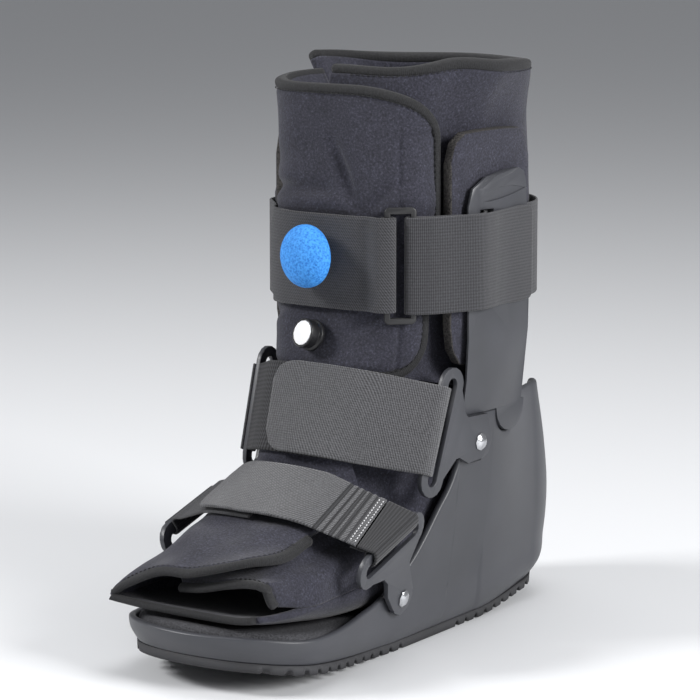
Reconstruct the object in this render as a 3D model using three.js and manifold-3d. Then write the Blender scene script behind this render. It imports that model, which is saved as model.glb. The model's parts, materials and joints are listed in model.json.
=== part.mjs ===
// Short medical walking boot: a rocker shell with side struts, a padded liner, strap rings and straps.
// Millimetres. X to the wearer's side, -Y towards the toe, +Z up, standing on the tread.
import * as THREE from "three";
import { mergeVertices } from "three/addons/utils/BufferGeometryUtils.js";
import Module from "manifold-3d";

const wasm = await Module();
wasm.setup();

// Driving dimensions

const soleLength = 291;
const ballWidth = 107.4;
const heelWidth = 89;
const shellTopWidth = 114.6;
const shellHeight = 117.5;
const shellWall = 3.5;
const treadThickness = 4.7;
const treadGroove = 2.4;
const toeSpring = 14;
const heelSpring = 13;
const insoleThickness = 11;
const fitGap = 0.3;
const lapGap = 0.8;

const linerHeight = 286;
const linerWall = 7;
const calfWidth = 98;
const rimWidth = 124;
const footWidth = 0.8028 * shellTopWidth;
const bindingWidth = 4.5;
const flapDrop = 9.5;

const strutThickness = 3.2;
const strutTop = 0.827 * linerHeight;
const padThickness = 6.2;
const padTop = 0.902 * linerHeight;
const padLength = 0.392 * linerHeight;

const strapWidth = 48;
const strapHeight = 0.675 * linerHeight;
const strapThickness = 1.5;
const strapSlotWidth = 10;

const ringThickness = 2.6;
const ringBar = 5.4;
const ringSlotWidth = 7.2;
const rivetRadius = 4.6;
const rivetShank = 2;

const loopBar = 3;
const loopThickness = 2.4;
const loopOpening = 10;
const bulbRadius = 16.4;
const bulbHeight = 0.687 * linerHeight;
const bulbFlatness = 0.62;
const valveRadius = 7.4;
const valveLength = 8;
const valveHeight = 0.542 * linerHeight;
const buttonTravel = 1.5;

// Places that follow from them

const halfSole = soleLength / 2;
const ballLine = -0.352 * soleLength;
const heelLine = 0.349 * soleLength;
const flatFront = -0.086 * soleLength;
const flatRear = 0.155 * soleLength;
const calfCentre = 0.146 * soleLength;
const strapLift = lapGap + strapThickness / 2;
const padOuter = calfWidth / 2 + lapGap + padThickness;
const strapBehind = padOuter + 2 * fitGap + strapThickness / 2;
const strutInner = strapBehind + strapThickness / 2 + fitGap;
const strutOuter = strutInner + strutThickness;

const felt = new THREE.MeshStandardMaterial({ color: 0x3c3c48, roughness: 0.95 });
const tape = new THREE.MeshStandardMaterial({ color: 0x29282a, roughness: 0.85 });
const webbing = new THREE.MeshStandardMaterial({ color: 0x3a3a3c, roughness: 0.9 });
const pile = new THREE.MeshStandardMaterial({ color: 0x5c5c5e, roughness: 0.95 });
const ribbed = new THREE.MeshStandardMaterial({ color: 0x3c3c3e, roughness: 0.9 });
const plastic = new THREE.MeshStandardMaterial({ color: 0x55565c, roughness: 0.5 });
const tread = new THREE.MeshStandardMaterial({ color: 0x303032, roughness: 0.8 });
const steel = new THREE.MeshStandardMaterial({ color: 0xc8c8cc, roughness: 0.25, metalness: 1 });
const bulbFoam = new THREE.MeshStandardMaterial({ color: 0x3a8ddc, roughness: 0.7 });
const whitePlastic = new THREE.MeshStandardMaterial({ color: 0xe8e8ea, roughness: 0.4 });

// Small mathematics

const mix = (from, to, share) => from + (to - from) * share;

function smooth(from, to, value) {
  const share = Math.min(Math.max((value - from) / (to - from), 0), 1);
  return share * share * (3 - 2 * share);
}

// A column of a table read between its rows, on a smooth curve through the rows.
function track(rows, column, place) {
  const last = rows.length - 1;
  const clamped = Math.min(Math.max(place, 0), last);
  const index = Math.min(Math.floor(clamped), last - 1);
  const share = clamped - index;
  const value = (step) => rows[Math.min(Math.max(index + step, 0), last)][column];
  const [before, start, end, after] = [value(-1), value(0), value(1), value(2)];
  const bend = share * (1 - share);
  return mix(start, end, share) + bend * ((1 - share) * ((end - before) / 2 - (end - start))
    - share * ((after - start) / 2 - (end - start)));
}

function turned(degrees) {
  const angle = THREE.MathUtils.degToRad(degrees);
  return { sine: Math.sin(angle), cosine: Math.cos(angle) };
}

function steps(count, from, to) {
  return Array.from({ length: count + 1 }, (_, index) => mix(from, to, index / count));
}

// Rings of points joined into one closed body: bands between rings, and a zigzag cap on the first and last.
function loft(rings) {
  const count = rings[0].length;
  const positions = rings.flat().flatMap((point) => [point.x, point.y, point.z]);
  const indices = [];
  for (let ring = 0; ring < rings.length - 1; ring += 1) {
    for (let place = 0; place < count; place += 1) {
      const next = (place + 1) % count;
      const lower = ring * count;
      const upper = lower + count;
      indices.push(lower + place, lower + next, upper + next);
      indices.push(lower + place, upper + next, upper + place);
    }
  }
  for (const [base, flip] of [[0, true], [(rings.length - 1) * count, false]]) {
    for (let place = 0; place < count / 2 - 1; place += 1) {
      const [near, far] = [base + place, base + count - 1 - place];
      const quad = flip ? [near, far, far - 1, near + 1] : [near, near + 1, far - 1, far];
      indices.push(quad[0], quad[1], quad[2]);
      if (quad[2] !== quad[3] && near + 1 !== far - 1) {
        indices.push(quad[0], quad[2], quad[3]);
      }
    }
  }
  const geometry = new THREE.BufferGeometry();
  geometry.setAttribute("position", new THREE.Float32BufferAttribute(positions, 3));
  geometry.setIndex(indices);
  return outward(geometry);
}

// Turns every face round when the faces enclose a negative volume.
function outward(geometry) {
  const place = geometry.getAttribute("position");
  const index = Array.from(geometry.getIndex().array);
  const [a, b, c] = [new THREE.Vector3(), new THREE.Vector3(), new THREE.Vector3()];
  let volume = 0;
  for (let face = 0; face < index.length; face += 3) {
    a.fromBufferAttribute(place, index[face]);
    b.fromBufferAttribute(place, index[face + 1]);
    c.fromBufferAttribute(place, index[face + 2]);
    volume += a.dot(b.cross(c));
  }
  if (volume < 0) {
    for (let face = 0; face < index.length; face += 3) {
      [index[face + 1], index[face + 2]] = [index[face + 2], index[face + 1]];
    }
    geometry.setIndex(index);
  }
  return geometry;
}

// Solids for joining and cutting

function solid(geometry) {
  const bare = geometry.clone();
  bare.deleteAttribute("normal");
  bare.deleteAttribute("uv");
  const merged = mergeVertices(bare, 1e-4);
  return new wasm.Manifold(new wasm.Mesh({
    numProp: 3,
    vertProperties: new Float32Array(merged.getAttribute("position").array),
    triVerts: new Uint32Array(merged.getIndex().array),
  }));
}

function geometryOf(body) {
  const mesh = body.getMesh();
  const geometry = new THREE.BufferGeometry();
  geometry.setAttribute("position", new THREE.Float32BufferAttribute(mesh.vertProperties, 3));
  geometry.setIndex(Array.from(mesh.triVerts));
  return geometry;
}

function cut(geometry, cutters) {
  return geometryOf(cutters.reduce((body, cutter) => body.subtract(solid(cutter)), solid(geometry)));
}

function join(geometries) {
  return geometryOf(geometries.slice(1).reduce((body, more) => body.add(solid(more)), solid(geometries[0])));
}

// A flat outline in the Y-Z plane given thickness along X, from x = from to x = to.
function sidePlate(outline, from, to) {
  const settings = { depth: to - from, bevelEnabled: false, curveSegments: 4 };
  const geometry = new THREE.ExtrudeGeometry(outline, settings);
  geometry.applyMatrix4(new THREE.Matrix4().makeBasis(
    new THREE.Vector3(0, 1, 0), new THREE.Vector3(0, 0, 1), new THREE.Vector3(1, 0, 0)));
  return geometry.translate(from, 0, 0);
}

function polygon(points) {
  return new THREE.Shape(points.map(([first, second]) => new THREE.Vector2(first, second)));
}

// The outline of a bar with round ends between two centres.
function stadium(start, end, radius) {
  const heading = Math.atan2(end.y - start.y, end.x - start.x);
  const shape = new THREE.Shape();
  shape.absarc(start.x, start.y, radius, heading + Math.PI / 2, heading + Math.PI * 1.5, false);
  shape.absarc(end.x, end.y, radius, heading - Math.PI / 2, heading + Math.PI / 2, false);
  return shape;
}

function mirrored(geometry) {
  const other = geometry.clone();
  other.applyMatrix4(new THREE.Matrix4().makeScale(-1, 1, 1));
  if (!other.getIndex()) {
    return outward(mergeVertices(other.deleteAttribute("normal").deleteAttribute("uv"), 1e-4));
  }
  return outward(other);
}

// Shell, tread and insole

// Height of the tread's underside: flat in the middle, curved up to the toe and the heel.
function rocker(y) {
  const toeRun = Math.max((flatFront - y) / (flatFront + halfSole), 0);
  const heelRun = Math.max((y - flatRear) / (halfSole - flatRear), 0);
  return toeSpring * toeRun ** 1.5 + heelSpring * heelRun ** 1.6;
}

const shellBase = (y) => rocker(y) + treadThickness + fitGap;
const footbed = (y) => shellBase(y) + shellWall + fitGap + insoleThickness;

// One row for each height of the shell wall. height: share of the wall above its base. The widths are shares
// of the ball's, the top's and the heel's half widths, the ends shares of half the sole, and crease is the
// place along the sole of the line where the side face turns.
const shellRows = [
  { height: 0, ball: 0.93, waist: 0.74, side: 0.71, heel: 0.81, toe: 0.975, back: 0.915, crease: 0.178 },
  { height: 0.05, ball: 0.99, waist: 0.795, side: 0.77, heel: 0.915, toe: 0.998, back: 0.955, crease: 0.168 },
  { height: 0.19, ball: 1, waist: 0.845, side: 0.83, heel: 0.97, toe: 1, back: 0.983, crease: 0.158 },
  { height: 0.42, ball: 1, waist: 0.916, side: 0.9, heel: 1, toe: 1, back: 0.995, crease: 0.143 },
  { height: 0.65, ball: 1, waist: 0.945, side: 0.953, heel: 0.98, toe: 1, back: 0.96, crease: 0.136 },
  { height: 1, ball: 1, waist: 0.955, side: 1, heel: 0.9, toe: 1, back: 0.875, crease: 0.12 },
];
const waistLine = -0.103 * soleLength;
const creaseStep = 1.2;
const creaseRun = 4;

// Half width of the shell at a place behind the ball, for a row of the table.
function shellHalfWidth(y, row, inset) {
  const ball = row.ball * ballWidth / 2;
  const waist = row.waist * shellTopWidth / 2;
  const side = row.side * shellTopWidth / 2;
  const heel = row.heel * heelWidth / 2;
  const crease = row.crease * soleLength;
  const step = creaseStep * mix(0.4, 1, row.height);
  let half = mix(side, heel, smooth(crease + creaseRun, heelLine + 4 * creaseRun, y));
  if (y < crease) {
    half = mix(waist, side - step, Math.max((y - waistLine) / (crease - creaseRun - waistLine), 0));
    half = mix(half, side, Math.max((y - crease + creaseRun) / creaseRun, 0));
  }
  if (y < waistLine) {
    half = mix(ball, waist, smooth(ballLine, waistLine, y));
  }
  return half - inset;
}

// The plan outline of the shell: toe ellipse, side, heel ellipse, then back along the other side.
function shellLoop(row, inset, heightAt, turns = 6) {
  const halfBall = shellHalfWidth(ballLine, row, inset);
  const halfHeel = shellHalfWidth(heelLine, row, inset);
  const toeRun = row.toe * halfSole + ballLine - inset;
  const heelRun = row.back * halfSole - heelLine - inset;
  const crease = row.crease * soleLength;
  const half = [];
  for (const degrees of steps(turns, 3, 90)) {
    const { sine, cosine } = turned(degrees);
    half.push([halfBall * sine, ballLine - toeRun * cosine]);
  }
  const stations = [mix(ballLine, waistLine, 0.5), waistLine, mix(waistLine, crease, 0.5),
    crease - creaseRun, crease, mix(crease, heelLine, 0.4), mix(crease, heelLine, 0.72)];
  stations.forEach((y) => half.push([shellHalfWidth(y, row, inset), y]));
  for (const degrees of steps(turns, 90, 3)) {
    const { sine, cosine } = turned(degrees);
    half.push([halfHeel * sine, heelLine + heelRun * cosine]);
  }
  const right = half.map(([x, y]) => new THREE.Vector3(x, y, heightAt(y)));
  const left = half.map(([x, y]) => new THREE.Vector3(-x, y, heightAt(y))).reverse();
  return [...right, ...left];
}

// The shell's top edge from the toe to the strut, seen from the side. along: share of the sole's length,
// up: share of the shell's height.
const shellEdge = [
  { along: -0.56, up: 0.262 },
  { along: -0.474, up: 0.254 },
  { along: -0.385, up: 0.225 },
  { along: -0.303, up: 0.223 },
  { along: -0.227, up: 0.243 },
  { along: -0.16, up: 0.278 },
  { along: -0.115, up: 0.335 },
  { along: -0.07, up: 0.42 },
  { along: -0.007, up: 0.589 },
  { along: 0.037, up: 0.715 },
  { along: 0.05, up: 0.775 },
];
const strutFront = 0.0505 * soleLength;
const seatHeight = 0.973 * shellHeight;
const tongueCentre = 0.196 * soleLength;
const tongueRadius = 13.3;
const heelDip = 0.3 * shellHeight;

// The side view cutter: everything above the shell's edge, with the round seat of the strut's tongue.
function shellEdgeCutter() {
  const ceiling = shellHeight + treadThickness + toeSpring;
  const shape = new THREE.Shape();
  shape.moveTo(-soleLength, ceiling);
  shape.lineTo(-soleLength, shellEdge[0].up * shellHeight);
  for (const place of steps(24, 0, shellEdge.length - 1)) {
    shape.lineTo(track(shellEdge, "along", place) * soleLength, track(shellEdge, "up", place) * shellHeight);
  }
  shape.lineTo(strutFront, seatHeight);
  shape.lineTo(tongueCentre - tongueRadius, seatHeight);
  shape.absarc(tongueCentre, seatHeight, tongueRadius, Math.PI, 0, false);
  shape.lineTo(tongueCentre + tongueRadius + fitGap, shellHeight);
  shape.lineTo(soleLength, shellHeight);
  shape.lineTo(soleLength, ceiling);
  return sidePlate(shape, -shellTopWidth, shellTopWidth);
}

// The rear view cutter: the dip in the back of the heel cup.
function heelDipCutter() {
  const radius = 0.6 * heelWidth / 2;
  const floor = shellHeight - heelDip;
  const shape = new THREE.Shape();
  shape.moveTo(-1.4 * radius, shellHeight + fitGap);
  shape.quadraticCurveTo(-radius, shellHeight, -0.9 * radius, mix(floor, shellHeight, 0.6));
  shape.quadraticCurveTo(-0.7 * radius, floor, 0, floor);
  shape.quadraticCurveTo(0.7 * radius, floor, 0.9 * radius, mix(floor, shellHeight, 0.6));
  shape.quadraticCurveTo(radius, shellHeight, 1.4 * radius, shellHeight + fitGap);
  const settings = { depth: halfSole, bevelEnabled: false, curveSegments: 5 };
  const geometry = new THREE.ExtrudeGeometry(shape, settings);
  geometry.rotateX(Math.PI / 2);
  return geometry.translate(0, heelLine - 10 + halfSole, 0);
}

function shellGeometry() {
  const top = shellHeight + 4;
  const heightOf = (row) => (y) => mix(shellBase(y), top, row.height);
  const outer = shellRows.map((row) => shellLoop(row, 0, heightOf(row)));
  const inner = shellRows.slice(1).reverse().map((row) => shellLoop(row, shellWall, heightOf(row)));
  const floor = shellLoop(shellRows[1], shellWall + 2, (y) => shellBase(y) + shellWall);
  inner.splice(inner.length - 1, 1, shellLoop(shellRows[1], shellWall, (y) => shellBase(y) + shellWall + 2));
  const cup = loft([...outer, ...inner, floor]);
  return cut(cup, [shellEdgeCutter(), heelDipCutter(), ...rivetHoles()]);
}

function outsoleGeometry() {
  const edge = { ...shellRows[0], ball: 0.945, heel: 0.84 };
  const upper = shellLoop(edge, 0, (y) => rocker(y) + treadThickness, 5);
  const lower = shellLoop(edge, 0.6, rocker, 5);
  const pitch = 9;
  const rib = 6;
  const grooves = [];
  for (let y = -halfSole + 2 * pitch; y < halfSole - 2 * pitch; y += pitch) {
    if (Math.abs(y - 10) > 2.5 * pitch) {
      const slope = Math.atan2(rocker(y + 1) - rocker(y - 1), 2);
      const groove = new THREE.BoxGeometry(1.2 * ballWidth, pitch - rib, 2 * treadGroove);
      groove.rotateX(slope);
      groove.translate(0, y, rocker(y));
      grooves.push(groove);
    }
  }
  return cut(loft([lower, upper]), grooves);
}

function insoleGeometry() {
  const inset = shellWall + fitGap;
  const bottom = (y) => shellBase(y) + shellWall + fitGap;
  const lower = shellLoop(shellRows[1], inset + 2.8, bottom, 5);
  const waist = shellLoop(shellRows[1], inset + 0.3, (y) => bottom(y) + 0.3 * insoleThickness, 5);
  const rim = shellLoop(shellRows[1], inset + 0.6, (y) => bottom(y) + 0.75 * insoleThickness, 5);
  const upper = shellLoop(shellRows[1], inset + 4, footbed, 5);
  upper.forEach((point) => { point.z -= fitGap; });
  return loft([lower, waist, rim, upper]);
}

// Liner: sections fan round from level at the calf to upright at the toe

// One row for each section. frontY and backY: shares of the sole's length. frontZ: share of the liner's
// height. rise: share of the liner's height above the footbed at the section's back. front and back: how
// square each half is. wall: share of the liner's wall. lean: how the toe's top slopes up towards +X.
const linerRows = [
  { frontY: -0.0756, frontZ: 1, backY: 0.3677, rise: 0.906, wall: 1, lean: 0,
    rim: 1, calf: 0, foot: 0, front: 2.3, back: 2.3 },
  { frontY: -0.079, frontZ: 0.916, backY: 0.3711, rise: 0.822, wall: 1, lean: 0,
    rim: 0.12, calf: 0.88, foot: 0, front: 3, back: 3.4 },
  { frontY: -0.0808, frontZ: 0.787, backY: 0.3746, rise: 0.692, wall: 1, lean: 0,
    rim: 0, calf: 1, foot: 0, front: 3.4, back: 4 },
  { frontY: -0.0825, frontZ: 0.664, backY: 0.378, rise: 0.569, wall: 1, lean: 0,
    rim: 0, calf: 1, foot: 0, front: 3.4, back: 4 },
  { frontY: -0.0876, frontZ: 0.559, backY: 0.3797, rise: 0.447, wall: 1, lean: 0,
    rim: 0, calf: 1, foot: 0, front: 3.2, back: 3.4 },
  { frontY: -0.1134, frontZ: 0.493, backY: 0.3849, rise: 0.322, wall: 1, lean: 0,
    rim: 0, calf: 0.2, foot: 0.8, front: 2.9, back: 2.6 },
  { frontY: -0.1495, frontZ: 0.423, backY: 0.4124, rise: 0.205, wall: 1, lean: 0,
    rim: 0, calf: 0, foot: 0.99, front: 2.7, back: 2.4 },
  { frontY: -0.1838, frontZ: 0.36, backY: 0.4467, rise: 0.092, wall: 1, lean: 0,
    rim: 0, calf: 0, foot: 1, front: 2.6, back: 2.3 },
  { frontY: -0.2062, frontZ: 0.316, backY: 0.433, rise: 0.02, wall: 0.95, lean: 0,
    rim: 0, calf: 0, foot: 0.98, front: 2.6, back: 2.3 },
  { frontY: -0.2474, frontZ: 0.294, backY: 0.36, rise: 0.001, wall: 0.85, lean: 0,
    rim: 0, calf: 0, foot: 0.98, front: 2.6, back: 2.5 },
  { frontY: -0.2887, frontZ: 0.277, backY: 0.206, rise: 0.001, wall: 0.77, lean: 0,
    rim: 0, calf: 0, foot: 0.985, front: 2.7, back: 2.8 },
  { frontY: -0.3299, frontZ: 0.26, backY: 0.034, rise: 0.001, wall: 0.72, lean: 0.02,
    rim: 0, calf: 0, foot: 0.99, front: 2.7, back: 3 },
  { frontY: -0.3711, frontZ: 0.24, backY: -0.137, rise: 0.001, wall: 0.69, lean: 0.08,
    rim: 0, calf: 0, foot: 1, front: 2.7, back: 3 },
  { frontY: -0.4104, frontZ: 0.2225, backY: -0.285, rise: 0.001, wall: 0.6, lean: 0.17,
    rim: 0, calf: 0, foot: 1.03, front: 2.8, back: 3 },
  { frontY: -0.441, frontZ: 0.2085, backY: -0.393, rise: 0.004, wall: 0.52, lean: 0.25,
    rim: 0, calf: 0, foot: 1.07, front: 3, back: 3 },
  { frontY: -0.4605, frontZ: 0.2, backY: -0.457, rise: 0.008, wall: 0.48, lean: 0.3,
    rim: 0, calf: 0, foot: 1.1, front: 3.2, back: 3.2 },
];
const lastRow = linerRows.length - 1;

// A section of the liner: its centre, the line from back to front, and its half sizes. Its width is a share
// each of the rim's, the calf's and the foot's.
function linerSection(place) {
  const read = (column) => track(linerRows, column, place);
  const backY = read("backY") * soleLength;
  const back = new THREE.Vector3(0, backY, footbed(backY) + read("rise") * linerHeight);
  const front = new THREE.Vector3(0, read("frontY") * soleLength, read("frontZ") * linerHeight);
  const forward = front.clone().sub(back);
  return {
    centre: back.clone().add(front).multiplyScalar(0.5),
    depth: forward.length() / 2,
    forward: forward.normalize(),
    half: (read("rim") * rimWidth + read("calf") * calfWidth + read("foot") * footWidth) / 2,
    front: read("front"),
    back: read("back"),
    wall: read("wall") * linerWall,
    lean: read("lean"),
  };
}

// A point of the liner's outer surface. degrees: from the front towards +X, place: row of the table.
function linerSurface(degrees, place) {
  const section = linerSection(place);
  const { sine, cosine } = turned(degrees);
  const power = cosine > 0 ? section.front : section.back;
  const across = (Math.abs(sine) / section.half) ** power;
  const along = (Math.abs(cosine) / section.depth) ** power;
  const reach = (across + along) ** (-1 / power);
  const side = reach * sine;
  const raised = section.lean * side * (reach * cosine / section.depth + 1) / 2;
  return section.centre.clone()
    .add(new THREE.Vector3(side, 0, raised))
    .addScaledVector(section.forward, reach * cosine);
}

// A point at a distance outside that surface, or inside it for a negative lift, square to the surface.
function onLiner(degrees, place, lift = 0) {
  const round = linerSurface(degrees + 1, place).sub(linerSurface(degrees - 1, place));
  const down = linerSurface(degrees, place + 0.1).sub(linerSurface(degrees, place - 0.1));
  return linerSurface(degrees, place).addScaledVector(down.cross(round).normalize(), lift);
}

// The row of the table at which the front of the liner has a given height above the instep.
function placeAtHeight(height) {
  let [low, high] = [0, 7];
  for (let turn = 0; turn < 30; turn += 1) {
    const middle = (low + high) / 2;
    const section = linerSection(middle);
    if (section.centre.z + section.forward.z * section.depth > height) {
      low = middle;
    } else {
      high = middle;
    }
  }
  return (low + high) / 2;
}

const flapEdge = 50;
const seamGap = 1.8;
const panelStart = -4;
const sideSeam = 265;
const footSeamRight = 104;
const footSeamLeft = 268.8;
const panelFoot = 4.95;
const anklePlaces = [5.3, 5.8, 6.3, 6.8, 7.3, 7.8, 8.5, 9.2];

// How far an under panel lies below the outer surface, so that the flap over it lies flush.
function underlap(degrees, edge, wall, rise = 40) {
  return (wall + lapGap + fitGap) * (1 - smooth(edge + 8, edge + rise, degrees));
}

function linerBodyGeometry() {
  const rings = [];
  const places = [0, 0.5, 1, 1.5, 2, 3, 4, panelFoot, ...anklePlaces, 10.8, 12, 13.2, 14.2, lastRow];
  for (const place of places) {
    const { wall } = linerSection(place);
    const opening = smooth(panelFoot, anklePlaces[0], place);
    const start = mix(panelStart, footSeamRight, opening);
    const end = mix(sideSeam, footSeamLeft, opening);
    const angles = steps(20, start, end);
    const lowered = (degrees) => (1 - opening) * underlap(degrees, flapEdge, linerWall);
    const outer = angles.map((degrees) => onLiner(degrees, place, -lowered(degrees)));
    const inner = angles.map((degrees) => onLiner(degrees, place, -lowered(degrees) - wall)).reverse();
    rings.push([...outer, ...inner]);
  }
  return loft(rings);
}

// The calf flap's top and bottom edges, with round corners at its free side.
const flapTop = linerHeight - flapDrop;
const flapBottom = 0.478 * linerHeight + bindingWidth;
const topCorner = { degrees: 40, drop: 23 };
const bottomCorner = { degrees: 19, drop: 15 };
const flapDraw = 6.5;

// How far a corner's quarter ellipse has left the flap's straight edge.
function cornerDrop(corner, degrees) {
  const arc = Math.min(Math.max((degrees - flapEdge) / corner.degrees + 1, 0), 1);
  return corner.drop * (1 - Math.sqrt(1 - arc * arc));
}

function flapSpan(degrees) {
  return {
    top: placeAtHeight(flapTop - cornerDrop(topCorner, degrees)),
    bottom: placeAtHeight(flapBottom + cornerDrop(bottomCorner, degrees)),
  };
}

// The flap's free side draws in towards its foot. degrees: as at the flap's top.
function drawnIn(degrees, place) {
  return degrees - flapDraw * smooth(2.2, 3.8, place) * Math.max(degrees / flapEdge, 0);
}

const flapStart = sideSeam - 360 + seamGap;
const flapAngles = [
  ...steps(9, flapStart, -2), 8, 18, 26, 33, 38.5, 43, 46.4, 48.8, flapEdge];

function calfFlapGeometry() {
  const rings = flapAngles.map((degrees) => {
    const { top, bottom } = flapSpan(degrees);
    const places = [0, 0.1, 0.22, 0.36, 0.52, 0.68, 0.84, 1].map((share) => mix(top, bottom, share));
    const outer = places.map((place) => onLiner(drawnIn(degrees, place), place, 0));
    const inner = places.map((place) => onLiner(drawnIn(degrees, place), place, -linerWall)).reverse();
    return [...outer, ...inner];
  });
  return loft(rings);
}

// The free edge of the upper foot flap along its right side. place: row of the liner's table, degrees: round
// the foot.
const flapSide = [
  { place: 5, degrees: 10 },
  { place: 7, degrees: 18 },
  { place: 9, degrees: 26 },
  { place: 11, degrees: 34 },
  { place: 13, degrees: 57 },
  { place: 15, degrees: 70 },
];

function flapSideAt(place) {
  return track(flapSide, "degrees", (place - flapSide[0].place) / 2);
}

// Where each foot flap ends towards the toe. across: 0 at its sewn side to 1 at its free side.
const footFlapLeftEdge = [
  { across: 0, place: 14.6 },
  { across: 0.14, place: 14.55 },
  { across: 0.28, place: 14.55 },
  { across: 0.43, place: 14.55 },
  { across: 0.59, place: 14.6 },
  { across: 0.75, place: 14.65 },
  { across: 0.88, place: 14.65 },
  { across: 0.95, place: 14.4 },
  { across: 0.98, place: 13.6 },
  { across: 0.992, place: 12.4 },
  { across: 1, place: 11 },
];
const footFlapRightEdge = [
  { across: 0, place: 14.2 },
  { across: 0.12, place: 14.25 },
  { across: 0.26, place: 14.3 },
  { across: 0.42, place: 14.35 },
  { across: 0.6, place: 14.4 },
  { across: 0.8, place: 14.3 },
  { across: 1, place: 14 },
];
const toeSag = 3;

// The upper flap runs from the left seam to its free side, the under flap from the right seam under it.
const leftFlap = {
  edge: footFlapLeftEdge,
  degreesAt: (across, place) => mix(footSeamLeft - 360 + 1.4 * seamGap, flapSideAt(place), across),
  lift: () => 0,
};
const rightFlap = {
  edge: footFlapRightEdge,
  degreesAt: (across) => mix(footSeamRight - seamGap, -45, across),
  lift: (degrees, place) => {
    const sag = toeSag * smooth(12, 14.5, place);
    return underlap(degrees, flapSideAt(place) + 2, linerSection(place).wall + lapGap + sag, 32);
  },
};

// Rows along a flap: the liner's own round the bend of the ankle, then evenly out to the flap's end.
function flapPlaces(end) {
  const last = anklePlaces[anklePlaces.length - 1];
  return [...anklePlaces, ...[0.3, 0.55, 0.78, 1].map((share) => mix(last, end, share))];
}

function footFlapGeometry(flap) {
  const rings = steps(14, 0, flap.edge.length - 1).map((row) => {
    const across = track(flap.edge, "across", row);
    const places = flapPlaces(track(flap.edge, "place", row));
    const sheet = (depth) => places.map((place) => {
      const degrees = flap.degreesAt(across, place);
      return onLiner(degrees, place, -flap.lift(degrees, place) - depth * linerSection(place).wall);
    });
    return [...sheet(0), ...sheet(1).reverse()];
  });
  return loft(rings);
}

// A bound edge: a rounded tape section carried along points that are given with their outward and upright
// directions.
function bindingGeometry(stations) {
  const rings = stations.map(({ point, outward: away, upright, half }) => {
    const section = [[lapGap, -half], [0.7 * bindingWidth, -half], [bindingWidth, -0.4 * half],
      [bindingWidth, 0.4 * half], [0.7 * bindingWidth, half], [lapGap, half]];
    return section.map(([out, side]) => (
      point.clone().addScaledVector(away, out).addScaledVector(upright, side)));
  });
  return loft(rings);
}

// Stations for a tape along a curve on the liner's middle surface, from a list of [degrees, place, inset].
function tapeStations(marks, inward) {
  const middle = ([degrees, place, inset]) => onLiner(degrees, place, -linerSection(place).wall / 2 - inset);
  return marks.map((mark, index) => {
    const [degrees, place] = mark;
    const point = middle(mark);
    const upright = onLiner(degrees, place, 1).sub(onLiner(degrees, place, -1)).normalize();
    const next = marks[Math.min(index + 1, marks.length - 1)];
    const along = middle(next).sub(middle(marks[Math.max(index - 1, 0)]));
    const away = along.normalize().cross(upright).multiplyScalar(inward).normalize();
    upright.addScaledVector(away, -upright.dot(away)).normalize();
    return { point, outward: away, upright, half: linerSection(place).wall / 2 };
  });
}

function rimBindingGeometry() {
  const marks = steps(21, panelStart, sideSeam).map((degrees) => (
    [degrees, 0, underlap(degrees, flapEdge, linerWall)]));
  return bindingGeometry(tapeStations(marks, -1));
}

function flapBindingGeometry() {
  const mark = (degrees, place) => [drawnIn(degrees, place), place, 0];
  const top = flapAngles.map((degrees) => mark(degrees, flapSpan(degrees).top));
  const edge = flapSpan(flapEdge);
  const side = steps(6, edge.top, edge.bottom).slice(1, -1).map((place) => mark(flapEdge, place));
  const bottom = flapAngles.slice(6).map((degrees) => mark(degrees, flapSpan(degrees).bottom)).reverse();
  return bindingGeometry(tapeStations([...top, ...side, ...bottom], -1));
}

function footBindingGeometry(flap, inward) {
  const marks = steps(14, 0, flap.edge.length - 1).slice(1).map((row) => {
    const place = track(flap.edge, "place", row);
    const degrees = flap.degreesAt(track(flap.edge, "across", row), place);
    return [degrees, place, flap.lift(degrees, place)];
  });
  return bindingGeometry(tapeStations(marks, inward));
}

function lipBindingGeometry() {
  const marks = steps(18, footSeamRight + 1, footSeamLeft - 4).map((degrees) => [degrees, lastRow, 0]);
  return bindingGeometry(tapeStations(marks, 1));
}

// Struts, pads, rings and rivets

// The strut from its tongue up. up: height in millimetres as a share of the strut's top, front and rear:
// shares of the sole's length, out: 0 at the shell's face to 1 at the strut's full stand-off.
const strutRows = [
  { up: 0.494, front: 0.0509, rear: 0.2325, out: 0.05 },
  { up: 0.56, front: 0.054, rear: 0.234, out: 0.5 },
  { up: 0.65, front: 0.051, rear: 0.235, out: 0.9 },
  { up: 0.74, front: 0.049, rear: 0.2345, out: 1 },
  { up: 0.93, front: 0.0455, rear: 0.2245, out: 1 },
  { up: 0.968, front: 0.058, rear: 0.2215, out: 1 },
  { up: 0.99, front: 0.1, rear: 0.215, out: 1 },
  { up: 1, front: 0.165, rear: 0.198, out: 1 },
];
const slotCentre = 0.0965 * soleLength;
const slotHalf = strapWidth / 2 + 1;
const padFront = 0.02 * soleLength;
const padRear = 0.262 * soleLength;
const shellFace = shellTopWidth / 2;
const strutChamfer = [0.6 * strutThickness, 0.45 * strutThickness, 0, 0, 0.2 * strutThickness];

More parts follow.
